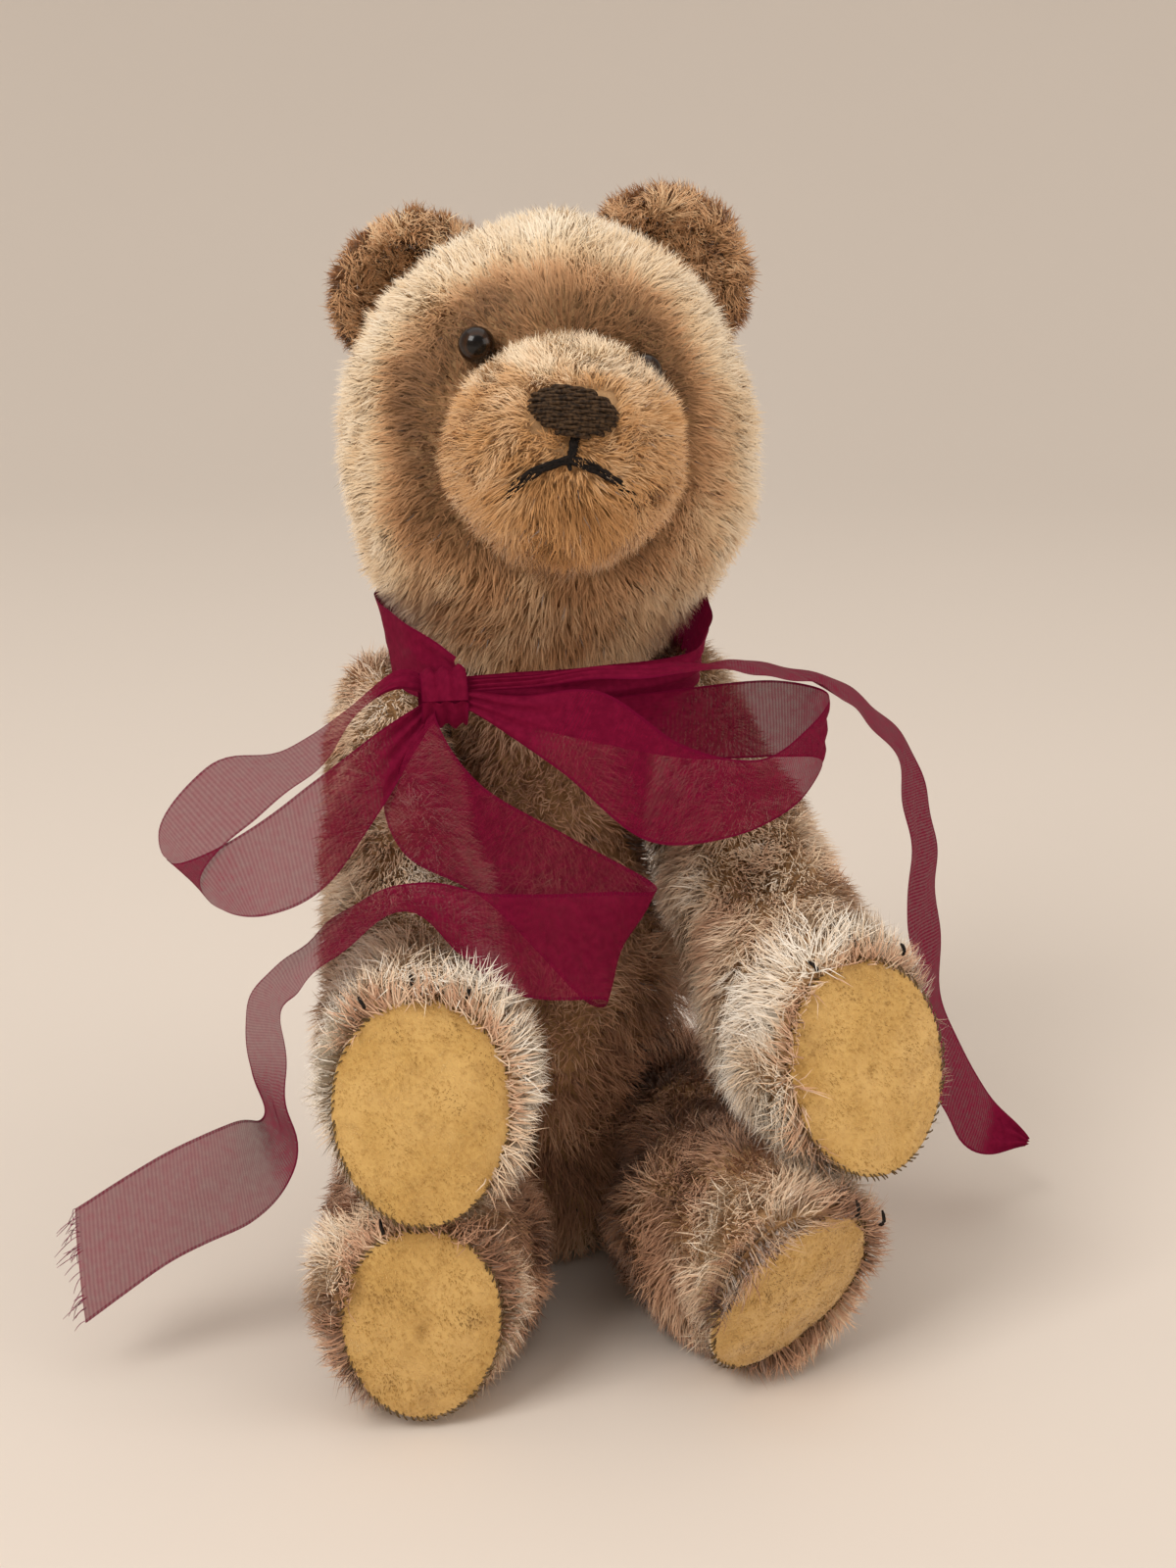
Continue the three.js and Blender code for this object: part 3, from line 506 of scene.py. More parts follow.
mohairRoots = ["50351f", "82603f", "ba8c60", "dcb98e", "eedab8"]
mohairTips = ["684730", "986e4a", "d2a276", "efd2aa", "fdf0da"]
mohair = furMaterial("worn mohair", mohairRoots, mohairTips)
goldenMohair = furMaterial("golden muzzle mohair", ["54371f", "8e6339", "ba8852", "d6aa78", "ecd2aa"],
                           ["7a5230", "ad7c4a", "d6a26b", "eac498", "fbe6c8"])
limbMohair = furMaterial("limb mohair", ["543a2b", "8e6850", "c09474", "dcc0a0", "efe4d2"],
                         ["6e4c39", "a67a60", "dbae8e", "f0d8ba", "fff9ee"])
backing = backingMaterial("woven backing", "9a7650", "bd976c")
down = -up


# Head

headShape = {
    "stations": [(0, 0, -12, 20, 19), (0, 0, 15, 31, 28), (0, -1, 34, 34.5, 31), (0, -1, 55, 31, 28.5),
                 (0, 0, 72, 22, 20)],
    "blunt": 0.6, "bareAtEye": 1.9, "bareAtNeck": 1.5,
    "muzzleCentre": np.array([1.6, -30, 38.5]) * mm,
    "muzzleHalf": np.array([18.5, 19.5, 17.5]) * mm,
    "socketDepth": 1.6 * mm,
    "socketWidth": 5.4 * mm,
    "creaseDepth": 1.2 * mm,
    # darker patches round the eyes, above the muzzle and beside it; the three on the right beside the muzzle's edge (x
    # from -18 to -24) are painted shade in the crease there
    "darkPatches": [(-1, -27, 62, 9, 0.2), (11, -25, 60, 7, 0.28), (-13, -24, 60, 6, 0.22), (-21, -22, 42, 8, 0.3),
               (-24, -18, 48, 3, 0.25), (-18, -25, 24, 8, 0.2), (14, -26, 18, 9, 0.12)],
}
eyeAt = {s: toBody(np.mean([np.array(c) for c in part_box(f"{s}_eye")], axis=0), "head") for s in sides}
headGrid = stuffed(headShape["stations"], 64, 84, headShape["blunt"], pileDepth["head"])
headGrid = pressed(headGrid, (0, 0, 0), (0, 0, -1), 2 * mm)
middleOfHead = np.array([0, 0, 36]) * mm
inward = unit(middleOfHead - headGrid)
for side in sides:
    near = np.linalg.norm(headGrid - eyeAt[side], axis=-1, keepdims=True)
    headGrid = headGrid + inward * headShape["socketDepth"] * hump(near, headShape["socketWidth"])
fromMuzzle = np.linalg.norm((headGrid - headShape["muzzleCentre"]) / headShape["muzzleHalf"], axis=-1, keepdims=True)
headGrid = headGrid + inward * headShape["creaseDepth"] * hump(fromMuzzle - 1, 0.16)
headGrid = lumpy(headGrid, 24, 0.45, 3)
skinOf("head_skin", "head", headGrid, 0.95, backing, "mohair", "head_cover")


def nearEyes(p):
    return np.minimum(*(np.linalg.norm(p - eyeAt[s], axis=-1) for s in sides))


def muzzleRatio(p):
    return np.linalg.norm((p - headShape["muzzleCentre"]) / headShape["muzzleHalf"], axis=-1)


def headFlow(p, n):
    # the pile is brushed back from the muzzle and down the cheeks
    fromFace = unit(p - headShape["muzzleCentre"])
    return 0.8 * fromFace + np.array([0, 0.25, -0.55])


def headTone(p, n):
    # pale all over, darker on the face, round the eyes, along the muzzle's edge and in darker patches: the pale edges
    # and top, against the darker face, are painted light
    face = ease(-n[:, 1], 0.35, 0.95)
    tone = 0.9 - 0.36 * face - 0.1 * ease(p[:, 1], -5 * mm, 20 * mm)
    # darker round the eyes and along the muzzle's edge: painted shade in the sunk sockets and in the crease
    tone = tone - 0.36 * hump(nearEyes(p), 10 * mm) - 0.3 * hump(nearEyes(p), 4.5 * mm)
    tone = tone - 0.2 * hump(muzzleRatio(p) - 1, 0.2) * (p[:, 2] > 20 * mm)
    # darker patches: those beside the muzzle's edge are painted shade in its crease
    for x, y, z, size, depth in headShape["darkPatches"]:
        tone = tone - depth * hump(np.linalg.norm(p - np.array([x, y, z]) * mm, axis=-1), size * mm)
    return np.maximum(tone, 0.22) + 0.06 * waves(p, 13 * mm, 71) + 0.04 * waves(p, 4 * mm, 72)


def headKeep(p, n):
    underMuzzle = muzzleRatio(p) < 0.82
    atEye, atNeck = nearEyes(p) < headShape["bareAtEye"] * mm, p[:, 2] < headShape["bareAtNeck"] * mm
    return np.where(underMuzzle | atEye | atNeck, 0.0, 1.0)


def headLength(p, n):
    return 1 - 0.42 * hump(nearEyes(p), 5.5 * mm) - 0.3 * hump(muzzleRatio(p) - 0.95, 0.2)


headFur = {"blades": 58000, "length": 4.9, "width": 0.25, "lean": 22, "leanSpread": 13, "droop": 24, "swirl": 0.4,
           "swirlSize": 16, "clump": 0.4, "mottle": 0.03, "wear": 0.12, "seed": 11}
paintWith(fur("head_fur", "head", headGrid, headFur, headFlow, headTone, headKeep, headLength), mohair)


# Muzzle: a ball sewn into the face, its pole at the front

def muzzleSurface(theta, phi):
    # the ball stretched to the muzzle's half sizes and turned a little up
    stretched = ball(theta, phi) * (headShape["muzzleHalf"] - pileDepth["head"])
    return stretched @ turn("x", -pose["headPitch"]).T + headShape["muzzleCentre"]


def onMuzzle(across, height, above):
    # the place across and up the muzzle's front in mm, that far above its surface
    half = headShape["muzzleHalf"] / mm + above
    deep = half[1] * np.sqrt(np.maximum(0, 1 - (across / half[0]) ** 2 - (height / half[2]) ** 2))
    place = np.stack([across * np.ones_like(deep), -deep, height * np.ones_like(deep)], -1) * mm
    return place @ turn("x", -pose["headPitch"]).T + headShape["muzzleCentre"]


muzzleTheta = np.linspace(0, math.pi * 0.8, 40)[:, None]
muzzlePhi = np.linspace(0, 2 * math.pi, 60, endpoint=False)[None, :]
muzzleGrid = muzzleSurface(muzzleTheta, muzzlePhi)
muzzleGrid[-1] = muzzleGrid[-1].mean(0)
muzzleGrid = lumpy(muzzleGrid, 15, 0.35, 9)
skinOf("muzzle_skin", "head", muzzleGrid, 0.9, backing, "muzzle_mohair", "muzzle_cover")

nose = {"width": 12.6, "height": 7, "rise": 5.7, "stitches": 9, "strands": 3, "threadRadius": 0.3, "slope": 0.09,
        "bareHalfWidth": 6.0, "bareHalfHeight": 3.2}
mouth = {"stem": 3.5, "drop": 9, "halfWidth": {"left": 11, "right": 9}, "threadRadius": 0.36}


def muzzlePlace(p):
    # across and up the muzzle's front, in mm
    local = (p - headShape["muzzleCentre"]) @ turn("x", -pose["headPitch"])
    return local[:, 0] / mm, local[:, 2] / mm


def muzzleFlow(p, n):
    across, height = muzzlePlace(p)
    outward = np.stack([across, np.zeros_like(across), height - nose["rise"] + 4], -1)
    return unit(outward) + np.array([0, 0.2, -0.35])


def muzzleTone(p, n):
    across, height = muzzlePlace(p)
    tone = 0.6 + 0.4 * ease(height, 6, 13) - 0.22 * hump(np.hypot(across, height + 6), 7)
    tone = tone - 0.12 * hump(height - 9.8, 1.3) * hump(across, 6)
    tone = tone - 0.12 * hump(np.hypot(across - 4, height - 0.5), 2.5)
    return tone + 0.08 * waves(p, 7 * mm, 31) + 0.06 * waves(p, 3 * mm, 32)


def muzzleKeep(p, n):
    across, height = muzzlePlace(p)
    onNose = (np.abs(across) < nose["bareHalfWidth"]) & (np.abs(height - nose["rise"]) < nose["bareHalfHeight"])
    sunkInHead = p[:, 1] > -18 * mm
    return np.where(onNose | sunkInHead | (nearEyes(p) < 3.9 * mm), 0.0, 1.0)


def muzzleLength(p, n):
    across, height = muzzlePlace(p)
    chin = hump(across, 7) * ease(-height, 1, 6)
    clear = 1 - 0.6 * hump(nearEyes(p), 6.5 * mm)
    return (0.6 + 0.4 * ease(np.hypot(across, height - 4), 5, 15) + 0.4 * chin) * clear


muzzleFur = {"blades": 27000, "length": 4.3, "width": 0.21, "lean": 24, "leanSpread": 14, "droop": 24, "swirl": 0.6,
             "swirlSize": 10, "stray": 0.45, "tuft": 2.0, "clump": 0.4, "mottle": 0.05, "wear": 0.2, "spare": 2.4,
             "seed": 21}
paintWith(fur("muzzle_fur", "head", muzzleGrid, muzzleFur, muzzleFlow, muzzleTone, muzzleKeep, muzzleLength),
          goldenMohair)
print("head done")


# Ears: cupped half rounds of folded mohair

earShape = {
    "span": {"left": 18, "right": 22.5}, "height": {"left": 64, "right": 57.5}, "spread": {"left": 34, "right": 44},
    "back": 7, "halfWidth": 12.6, "tall": 12.6, "halfDepth": 4.2, "rim": 2.4, "cup": 1.2,
}
earFur = {"blades": 11500, "length": 4.2, "width": 0.25, "lean": 24, "leanSpread": 18, "droop": 30, "swirl": 0.9,
          "swirlSize": 7, "stray": 0.5, "tuft": 2.2, "clump": 0.5, "mottle": 0.07}


def earCentre(side):
    return np.array([sides[side] * earShape["span"][side], earShape["back"], earShape["height"][side]]) * mm


def earGrid(side):
    # theta runs from the middle of the back, over the rim, to the middle of the cupped front
    theta = np.linspace(0, math.pi, 30)[:, None]
    phi = np.linspace(0, 2 * math.pi, 48, endpoint=False)[None, :]
    ring = np.sin(theta) ** 0.8
    inset = 1 - ring
    front = -earShape["rim"] * hump(inset - 0.16, 0.16) + earShape["cup"] * ease(inset, 0.25, 1)
    depth = np.where(theta < math.pi / 2, earShape["halfDepth"] * np.cos(theta), front)
    flat = np.stack([earShape["halfWidth"] * ring * np.cos(phi), depth * np.ones_like(phi),
                     earShape["tall"] * ring * np.sin(phi)], -1) * mm
    way = sides[side]
    return lumpy(flat, 8, 0.3, 40 + way) @ turn("y", way * earShape["spread"][side]).T + earCentre(side)


def inHead(p):
    # how far inside the head's own outline a point is, from the nearest ring of the head
    levels = 60
    rings = curve(np.array(headShape["stations"]) * mm, np.linspace(0, 1, levels))
    level = np.abs(p[:, 2:3] - rings[None, :, 2]).argmin(1)
    near = rings[level]
    ring = np.sin(np.arccos(np.clip(1 - 2 * level / (levels - 1), -1, 1))) ** headShape["blunt"]
    wide, deep = near[:, 3] * ring + 1e-6, near[:, 4] * ring + 1e-6
    return 1 - np.hypot((p[:, 0] - near[:, 0]) / wide, (p[:, 1] - near[:, 1]) / deep)


for side, way in sides.items():
    grid = earGrid(side)
    skinOf(f"{side}_ear_skin", "head", grid, 0.5, backing, "ear_mohair", f"{side}_ear")
    centre = earCentre(side)
    paintWith(fur(f"{side}_ear_fur", "head", grid, {**earFur, "seed": 50 + way},
                  lambda p, n: unit(p - centre) + np.array([0, -0.3, -0.3]),
                  lambda p, n: 0.46 + 0.12 * ease(p[:, 2] - centre[2], 0, 14 * mm) + 0.06 * waves(p, 5 * mm, 61),
                  lambda p, n: np.where(inHead(p) > 0.02, 0.0, 1.0)), mohair)
print("ears done")


# Torso

torsoShape = {
    "stations": [(0, 3, -11, 21, 21), (0, 3, 20, 22.5, 22), (0, 6, 40, 24, 23), (0, 9.5, 68, 20, 19),
                 (0, 13, 114, 21, 20)],
    "blunt": 0.7, "shoulderHalfSpan": 17, "hipHalfSpan": 11.5, "bareBelow": 1.6, "bareAbove": 99,
    "longPileAt": (23, -2, 45), "longPileSize": 12, "longPileBy": 1.3,
}
torsoGrid = stuffed(torsoShape["stations"], 64, 64, torsoShape["blunt"], pileDepth["body"])
torsoGrid = lumpy(torsoGrid, 22, 0.5, 5)
torsoGrid = pressed(torsoGrid, (0, 0, 0), (0, 0, -1))
torsoGrid = pressed(torsoGrid, pin["head"], places["head"][1] @ up)
# flat on each side where the limbs are seated: the hips up to 34 mm, the shoulders from 64 mm
for way in sides.values():
    for span, upward, low, high in [("hipHalfSpan", -1, -40, -34), ("shoulderHalfSpan", 1, 58, 64)]:
        reach = np.maximum(0, way * torsoGrid[..., 0] - torsoShape[span] * mm)
        torsoGrid[..., 0] -= way * reach * ease(upward * torsoGrid[..., 2], low * mm, high * mm)
skinOf("torso_skin", "torso", torsoGrid, 0.9, backing, "mohair", "torso_cover")
torsoFur = {"blades": 33000, "length": 5.0, "leanSpread": 13, "droop": 28, "swirlSize": 16, "tuft": 3.0, "wear": 0.35,
            "seed": 15}


def torsoTone(p, n):
    # darker than the head's pile, and darker still low at the front between the arms and legs: partly the pile's own
    # colour, partly painted shade under the head and between the parts
    tone = 0.46 - 0.14 * hump(np.linalg.norm(p - np.array([8, -18, 20]) * mm, axis=-1), 22 * mm)
    return tone + 0.1 * waves(p, 14 * mm, 81) + 0.05 * waves(p, 4 * mm, 82)


def torsoKeep(p, n):
    return np.where((p[:, 2] < torsoShape["bareBelow"] * mm) | (p[:, 2] > torsoShape["bareAbove"] * mm), 0.0, 1.0)


def torsoLength(p, n):
    # longer beside the left hip, where the arm stands off
    away = np.linalg.norm(p - np.array(torsoShape["longPileAt"]) * mm, axis=-1)
    return 1 + torsoShape["longPileBy"] * hump(away, torsoShape["longPileSize"] * mm)


paintWith(fur("torso_fur", "torso", torsoGrid, torsoFur, lambda p, n: down + np.array([0.1, 0, 0]), torsoTone,
              torsoKeep, torsoLength), limbMohair)
print("torso done")


# Arms and legs, each in its own frame, with the joint pin at the origin and the limb along -y

limbs = {
    "arm": {"stations": [(8, 13, 0, 11.5, 16.5), (8, 0, 0, 11.5, 16.5), (8, -26, 0, 12, 16), (8, -50, 0, 14, 17),
                         (8, -68, 4.5, 16.5, 20.5), (8, -91, 23, 16.5, 20.5)],
            "padCentre": (10, -77, 9), "padWidth": 26, "padHeight": 33, "padTurn": {"left": 0, "right": 0},
            "padLean": {"left": 54, "right": 54}, "padRoll": {"left": 0, "right": 0}, "flare": 1.2,
            "reach": {"left": -91, "right": -91}, "baseTone": 0.7, "paleTone": 0.3, "paleFrom": 52, "paleTo": 72,
            "paleShare": 1.0},
    # the legs' baseTone is lower than the arms': partly the pile's own colour, partly painted shade where the legs lie
    # under the arms
    "leg": {"stations": [(11, 16, 0, 14.5, 18.5), (11, 0, 0, 14.5, 18.5), (11, -24, -2.4, 16.5, 16.8),
                         (11, -40, -2.4, 16.5, 16.8), (16.5, -54, 0, 16.5, 19), (16.5, -75, 0, 16.5, 19)],
            "padCentre": (16.5, -61, -1.2), "padWidth": 23.5, "padHeight": 30, "padTurn": {"left": 22, "right": 5},
            "padLean": {"left": -16, "right": 4}, "padRoll": {"left": 44, "right": 0}, "flare": 0.8,
            "reach": {"left": -85, "right": -75}, "baseTone": 0.38, "paleTone": 0.42, "paleFrom": 44, "paleTo": 58,
            "paleShare": 0.8},
}
jointSeat = {"flatTo": 27, "roundTo": 33, "gap": 0.15, "bareTo": 15, "bareDeep": 1.2}
armFur = {"blades": 37000, "length": 5.0, "lean": 27, "swirl": 0.65, "wear": 0.25}
legFur = {"blades": 30000, "length": 4.8, "leanSpread": 13, "wear": 0.3}


def padFrame(limb, side):
    # centre, and the directions across, up and out of the pad
    shape, way = limbs[limb], sides[side]
    lean, swing = math.radians(shape["padLean"][side]), way * math.radians(shape["padTurn"][side])
    roll = way * math.radians(shape["padRoll"][side])
    out = np.array([math.sin(swing) * math.cos(lean), -math.cos(swing) * math.cos(lean), math.sin(lean)])
    level = unit(np.cross(up, out))
    upright = np.cross(out, level)
    across = level * math.cos(roll) - upright * math.sin(roll)
    high = level * math.sin(roll) + upright * math.cos(roll)
    return np.array(shape["padCentre"]) * mm * (way, 1, 1), across, high, out


def overPad(pad, across, height, above):
    # points in the limb's own frame, from mm across, up and out of its pad
    centre, level, high, out = pad
    return centre + (across[..., None] * level + height[..., None] * high + above[..., None] * out) * mm


def eggRatio(across, height, shape):
    # 1 on the pad's outline, an egg a little broader towards its top
    wide = shape["padWidth"] / 2 * (1 + 0.06 * np.clip(height / (shape["padHeight"] / 2), -1, 1))
    return np.hypot(across / wide, height / (shape["padHeight"] / 2))


def felt():
    paint = Paint("golden felt")
    patches = paint.noise(8 * mm, 3)
    smudge = paint.noise(5 * mm, 4, 0.6)
    nap = paint.noise(0.7 * mm, 4, 0.7)
    shade = paint.mix(patches.between(0.3, 0.7), colour("c09650"), colour("d2aa66"))
    shade = paint.mix(smudge.between(0.5, 0.78) * 0.45, shade, colour("946a38"))
    shade = paint.mix(nap.between(0.35, 0.75) * 0.35, shade, colour("e0bd72"))
    return paint.finish(Base_Color=shade, Roughness=0.95, Sheen_Weight=0.4, Sheen_Roughness=0.5,
                        Normal=paint.bump(nap, 0.55, 0.35 * mm))


def seamThread():
    paint = Paint("dark seam thread")
    fuzz = paint.noise(0.6 * mm, 3)
    return paint.finish(Base_Color=paint.mix(fuzz, colour("443422"), colour("76603f")), Roughness=0.85,
                        Specular_IOR_Level=0.2)


feltMaterial, seamMaterial = felt(), seamThread()
feltNap = furMaterial("felt nap", ["6a4c24", "98733a", "b48c4a", "c39c58", "cfab6a"],
                      ["80602e", "ae8442", "cda25a", "dcb674", "e8cc94"])


def buildLimb(limb, side, style):
    shape, way, body = limbs[limb], sides[side], f"{side}_{limb}"
    mirror = np.array([way, 1, 1, 1, 1])
    stations = np.array(shape["stations"], float) * mirror
    stations[-1, 1] = shape["reach"][side]
    stations[-2:, 3:] += shape["flare"]
    grid = stuffed(stations, 72, 60, 0.7, pileDepth["body"])
    grid = lumpy(grid, 17, 0.5, 90 + way)
    pad = centre, across, high, out = padFrame(limb, side)
    grid = pressed(grid, centre, out)
    # flat round the joint's pin, a little off the torso
    near = 1 - ease(np.hypot(grid[..., 1], grid[..., 2]), jointSeat["flatTo"] * mm, jointSeat["roundTo"] * mm)
    grid[..., 0] += way * (np.maximum(0, jointSeat["gap"] * mm - way * grid[..., 0]) * near)
    ground = -pin[body][2]
    if limb == "leg":
        grid = pressed(grid, (0, 0, ground), (0, 0, -1))
    skinOf(f"{body}_skin", body, grid, 0.9, backing, "mohair", f"{body}_cover")

    def padPlace(p):
        local = p - centre
        return (local @ across) / mm, (local @ high) / mm, local @ out

    def ratio(p):
        return eggRatio(*padPlace(p)[:2], shape)

    def rim(p):
        return hump(ratio(p) - 1.0, 0.35) * (padPlace(p)[2] > -9 * mm)

    def flow(p, n):
        a, h, _ = padPlace(p)
        radial = unit(a[:, None] * across + h[:, None] * high) + 0.35 * out
        fallen = down @ places[body][1]
        along = np.array([0, -0.35, 0]) + fallen * 0.8
        share = rim(p)[:, None]
        return along * (1 - share) + radial * share

    def tone(p, n):
        # bleached towards the end of the limb and round the pad, dark along the pad's seam
        pale = shape["paleShare"] * ease(-p[:, 1], shape["paleFrom"] * mm, shape["paleTo"] * mm)
        pale = np.maximum(pale, 0.9 * rim(p))
        seam = hump(ratio(p) - 0.98, 0.08) * (padPlace(p)[2] > -3 * mm)
        value = shape["baseTone"] + shape["paleTone"] * pale - 0.45 * seam
        return value + 0.08 * waves(p, 13 * mm, 83 + way) + 0.05 * waves(p, 4 * mm, 84)

    def keep(p, n):
        onPad = (ratio(p) < 0.93) & (padPlace(p)[2] > -4 * mm)
        inside = way * p[:, 0] < jointSeat["bareDeep"] * mm
        atSeat = (np.hypot(p[:, 1], p[:, 2]) < jointSeat["bareTo"] * mm) & inside
        under = (p[:, 2] < ground + 1.2 * mm) if limb == "leg" else np.zeros(len(p), bool)
        return np.where(onPad | atSeat | under, 0.0, 1.0)

    paintWith(fur(f"{body}_fur", body, grid, {**style, "seed": 100 + 7 * way + len(limb)}, flow, tone, keep,
                  lambda p, n: 1 + 0.35 * rim(p)), limbMohair)
    buildPad(limb, side, body, pad)


padNap = {"blades": 3600, "length": 0.75, "width": 0.12, "lean": 62, "leanSpread": 16, "droop": 15, "swirl": 0.9,
          "swirlSize": 7, "stray": 0.6, "tuft": 1.2, "clump": 0.1, "mottle": 0.08, "spare": 2.4}
padForm = {"dome": 1.5, "thickness": 1.2, "stitchPitch": 1.05, "stitchReach": 0.55, "stitchRadius": 0.13}


def buildPad(limb, side, body, pad):
    # a shallow dome over the egg outline, closed underneath, its rim rolled into the seam
    shape = limbs[limb]
    high, out = pad[2:]
    node = f"{side}_paw_pad" if limb == "arm" else f"{side}_foot_pad"
    theta = np.linspace(0, math.pi, 28)[:, None]
    phi = np.linspace(0, 2 * math.pi, 72, endpoint=False)[None, :]
    ring = np.sin(theta) ** 0.75
    wide = shape["padWidth"] / 2 * (1 + 0.06 * ring * np.sin(phi))
    a = wide * ring * np.cos(phi)
    h = shape["padHeight"] / 2 * ring * np.sin(phi)
    top = padForm["dome"] * (1 - ring**2.4) + 0.12 * waves(np.stack([a, h, 0 * a], -1), 6, 77)
    z = np.where(theta < math.pi / 2, top, -padForm["thickness"]) * np.ones_like(a)
    grid = overPad(pad, a, h, z)
    grid[0], grid[-1] = grid[0].mean(0), grid[-1].mean(0)
    cloth = shell(f"{node}_felt", body, grid)
    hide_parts(node)
    paintWith(cloth, feltMaterial)

    def napTone(p, n):
        return 0.5 + 0.16 * waves(p, 7 * mm, 91) - 0.2 * ease(waves(p, 5 * mm, 92), 0.6, 1.6)

    paintWith(fur(f"{node}_nap", body, grid, {**padNap, "seed": 130 + len(node) + sides[side]}, lambda p, n: -high,
                  napTone, lambda p, n: (n @ out > 0.35).astype(float)), feltNap)
    # overcast stitches round the pad, half sunk in the pile
    turns = int(math.pi * (shape["padWidth"] + shape["padHeight"]) / 2 / padForm["stitchPitch"])
    rng = np.random.default_rng(160 + sides[side] + len(node))
    angle = np.linspace(0, 2 * math.pi, turns, endpoint=False) + rng.normal(size=turns) * 0.02
    steps = np.linspace(-1, 1, 6)
    stitch = 1 + steps[None, :] * padForm["stitchReach"] / (shape["padWidth"] / 2)
    skew = angle[:, None] + 0.05 * steps[None, :]
    a = shape["padWidth"] / 2 * (1 + 0.06 * np.sin(skew)) * stitch * np.cos(skew)
    h = shape["padHeight"] / 2 * stitch * np.sin(skew)
    z = 0.3 - 0.6 * steps[None, :] ** 2 + 0.1 * rng.normal(size=(turns, 1))
    stitches = threads(f"{node}_stitches", body, overPad(pad, a, h, z), padForm["stitchRadius"] * mm, 4)
    paintWith(stitches, seamMaterial)


clawForm = {"radius": 0.3, "spots": {"arm": [-0.55, -0.05, 0.5], "leg": [-0.4, 0.1]}, "reach": 1.9}


def buildClaws(limb, side):
    # what is left of the claw stitches: short black threads lying over the rim above the pad
    body = f"{side}_{limb}"
    shape = limbs[limb]
    spot = np.array(clawForm["spots"][limb])[:, None]
    step = np.linspace(0, 1, 7)[None, :]
    lift = 1.12 + step * clawForm["reach"] / (shape["padHeight"] / 2)
    a = shape["padWidth"] / 2 * np.sin(spot) * lift
    h = shape["padHeight"] / 2 * np.cos(spot) * lift
    z = 2.6 - 3.4 * (step - 0.3) ** 2 + 0 * spot
    path = overPad(padFrame(limb, side), a, h, z)
    paintWith(threads(f"{body}_claw_threads", body, path, clawForm["radius"] * mm), clawMaterial)


clawMaterial = flossMaterial("claw thread", "070504", "231a14")
for side in sides:
    buildClaws("arm", side)
    buildClaws("leg", side)
    buildLimb("arm", side, armFur)
    buildLimb("leg", side, legFur)
print("limbs done")


# Eyes, nose and mouth

def eyeMaterial(side):
    # brown glass with a black pupil where the ball looks forward
    paint = Paint(f"{side} glass eye")
    centre = toRow(eyeAt[side][None], "head")[0]
    forward = places["head"][1] @ unit(np.array([0, -1.0, 0.06]))
    offset = paint.node("ShaderNodeVectorMath", {"operation": "SUBTRACT"}, {0: paint.place(), 1: tuple(centre)})[0]
    facing = paint.node("ShaderNodeVectorMath", {"operation": "DOT_PRODUCT"}, {0: offset, 1: tuple(forward)})[1]
    ahead = facing * (1 / (3.3 * mm))
    iris = paint.ramp(ahead, [(0.0, colour("120a06")), (0.5, colour("1c0f08")), (0.7, colour("35200f")),
                              (0.76, colour("0a0605")), (1.0, colour("050303"))])
    return paint.finish(Base_Color=iris, Roughness=0.18, Coat_Weight=0.2, Coat_Roughness=0.05, Specular_IOR_Level=0.25)


eyeForm = {"radius": 2.85, "rows": 24, "columns": 32}
for side in sides:
    theta = np.linspace(0, math.pi, eyeForm["rows"])[:, None]
    phi = np.linspace(0, 2 * math.pi, eyeForm["columns"], endpoint=False)[None, :]
    eye = shell(f"{side}_eye_glass", "head", ball(theta, phi) * eyeForm["radius"] * mm + eyeAt[side])
    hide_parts(f"{side}_eye")
    paintWith(eye, eyeMaterial(side))


# Nose: satin stitches side by side, each a few twisted strands, rounded off at the corners
noseRng = np.random.default_rng(8)
stitch = np.repeat(np.arange(nose["stitches"]), nose["strands"])[:, None]
strand = np.tile(np.arange(nose["strands"]), nose["stitches"])[:, None]
level = 1 - 2 * (stitch + 0.5) / nose["stitches"]
step = np.linspace(-1, 1, 22)[None, :]
outline = np.where(level > 0, (1 - np.abs(level) ** 3.2) ** 0.45, (1 - np.abs(level) ** 2.4) ** 0.62)
halfNose = nose["width"] / 2 * outline
halfNose = halfNose * (1 + 0.05 * noseRng.normal(size=halfNose.shape))
firstTurn = noseRng.uniform(0, 6, (nose["stitches"], 1)).repeat(nose["strands"], 0)
twist = 4.2 * step + 2 * math.pi * strand / nose["strands"] + firstTurn
pitch = nose["height"] / nose["stitches"]
rise = nose["rise"] + nose["height"] / 2 * level - nose["slope"] * halfNose * step + 0.3 * pitch * np.sin(twist)
above = 0.35 + 0.28 * np.cos(twist) - 0.9 * np.abs(step) ** 5 - 0.25 * np.abs(level) ** 2
nosePaths = np.stack([halfNose * step, rise], -1)
bulge = onMuzzle(nosePaths[..., 0], nosePaths[..., 1], 0)
nosePaths = bulge + unit(bulge - headShape["muzzleCentre"]) * above[..., None] * mm
noseThreads = threads("nose_floss", "head", nosePaths, nose["threadRadius"] * mm)
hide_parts("nose_stitching")
paintWith(noseThreads, flossMaterial("nose floss", "1d130b", "4e3a27"))

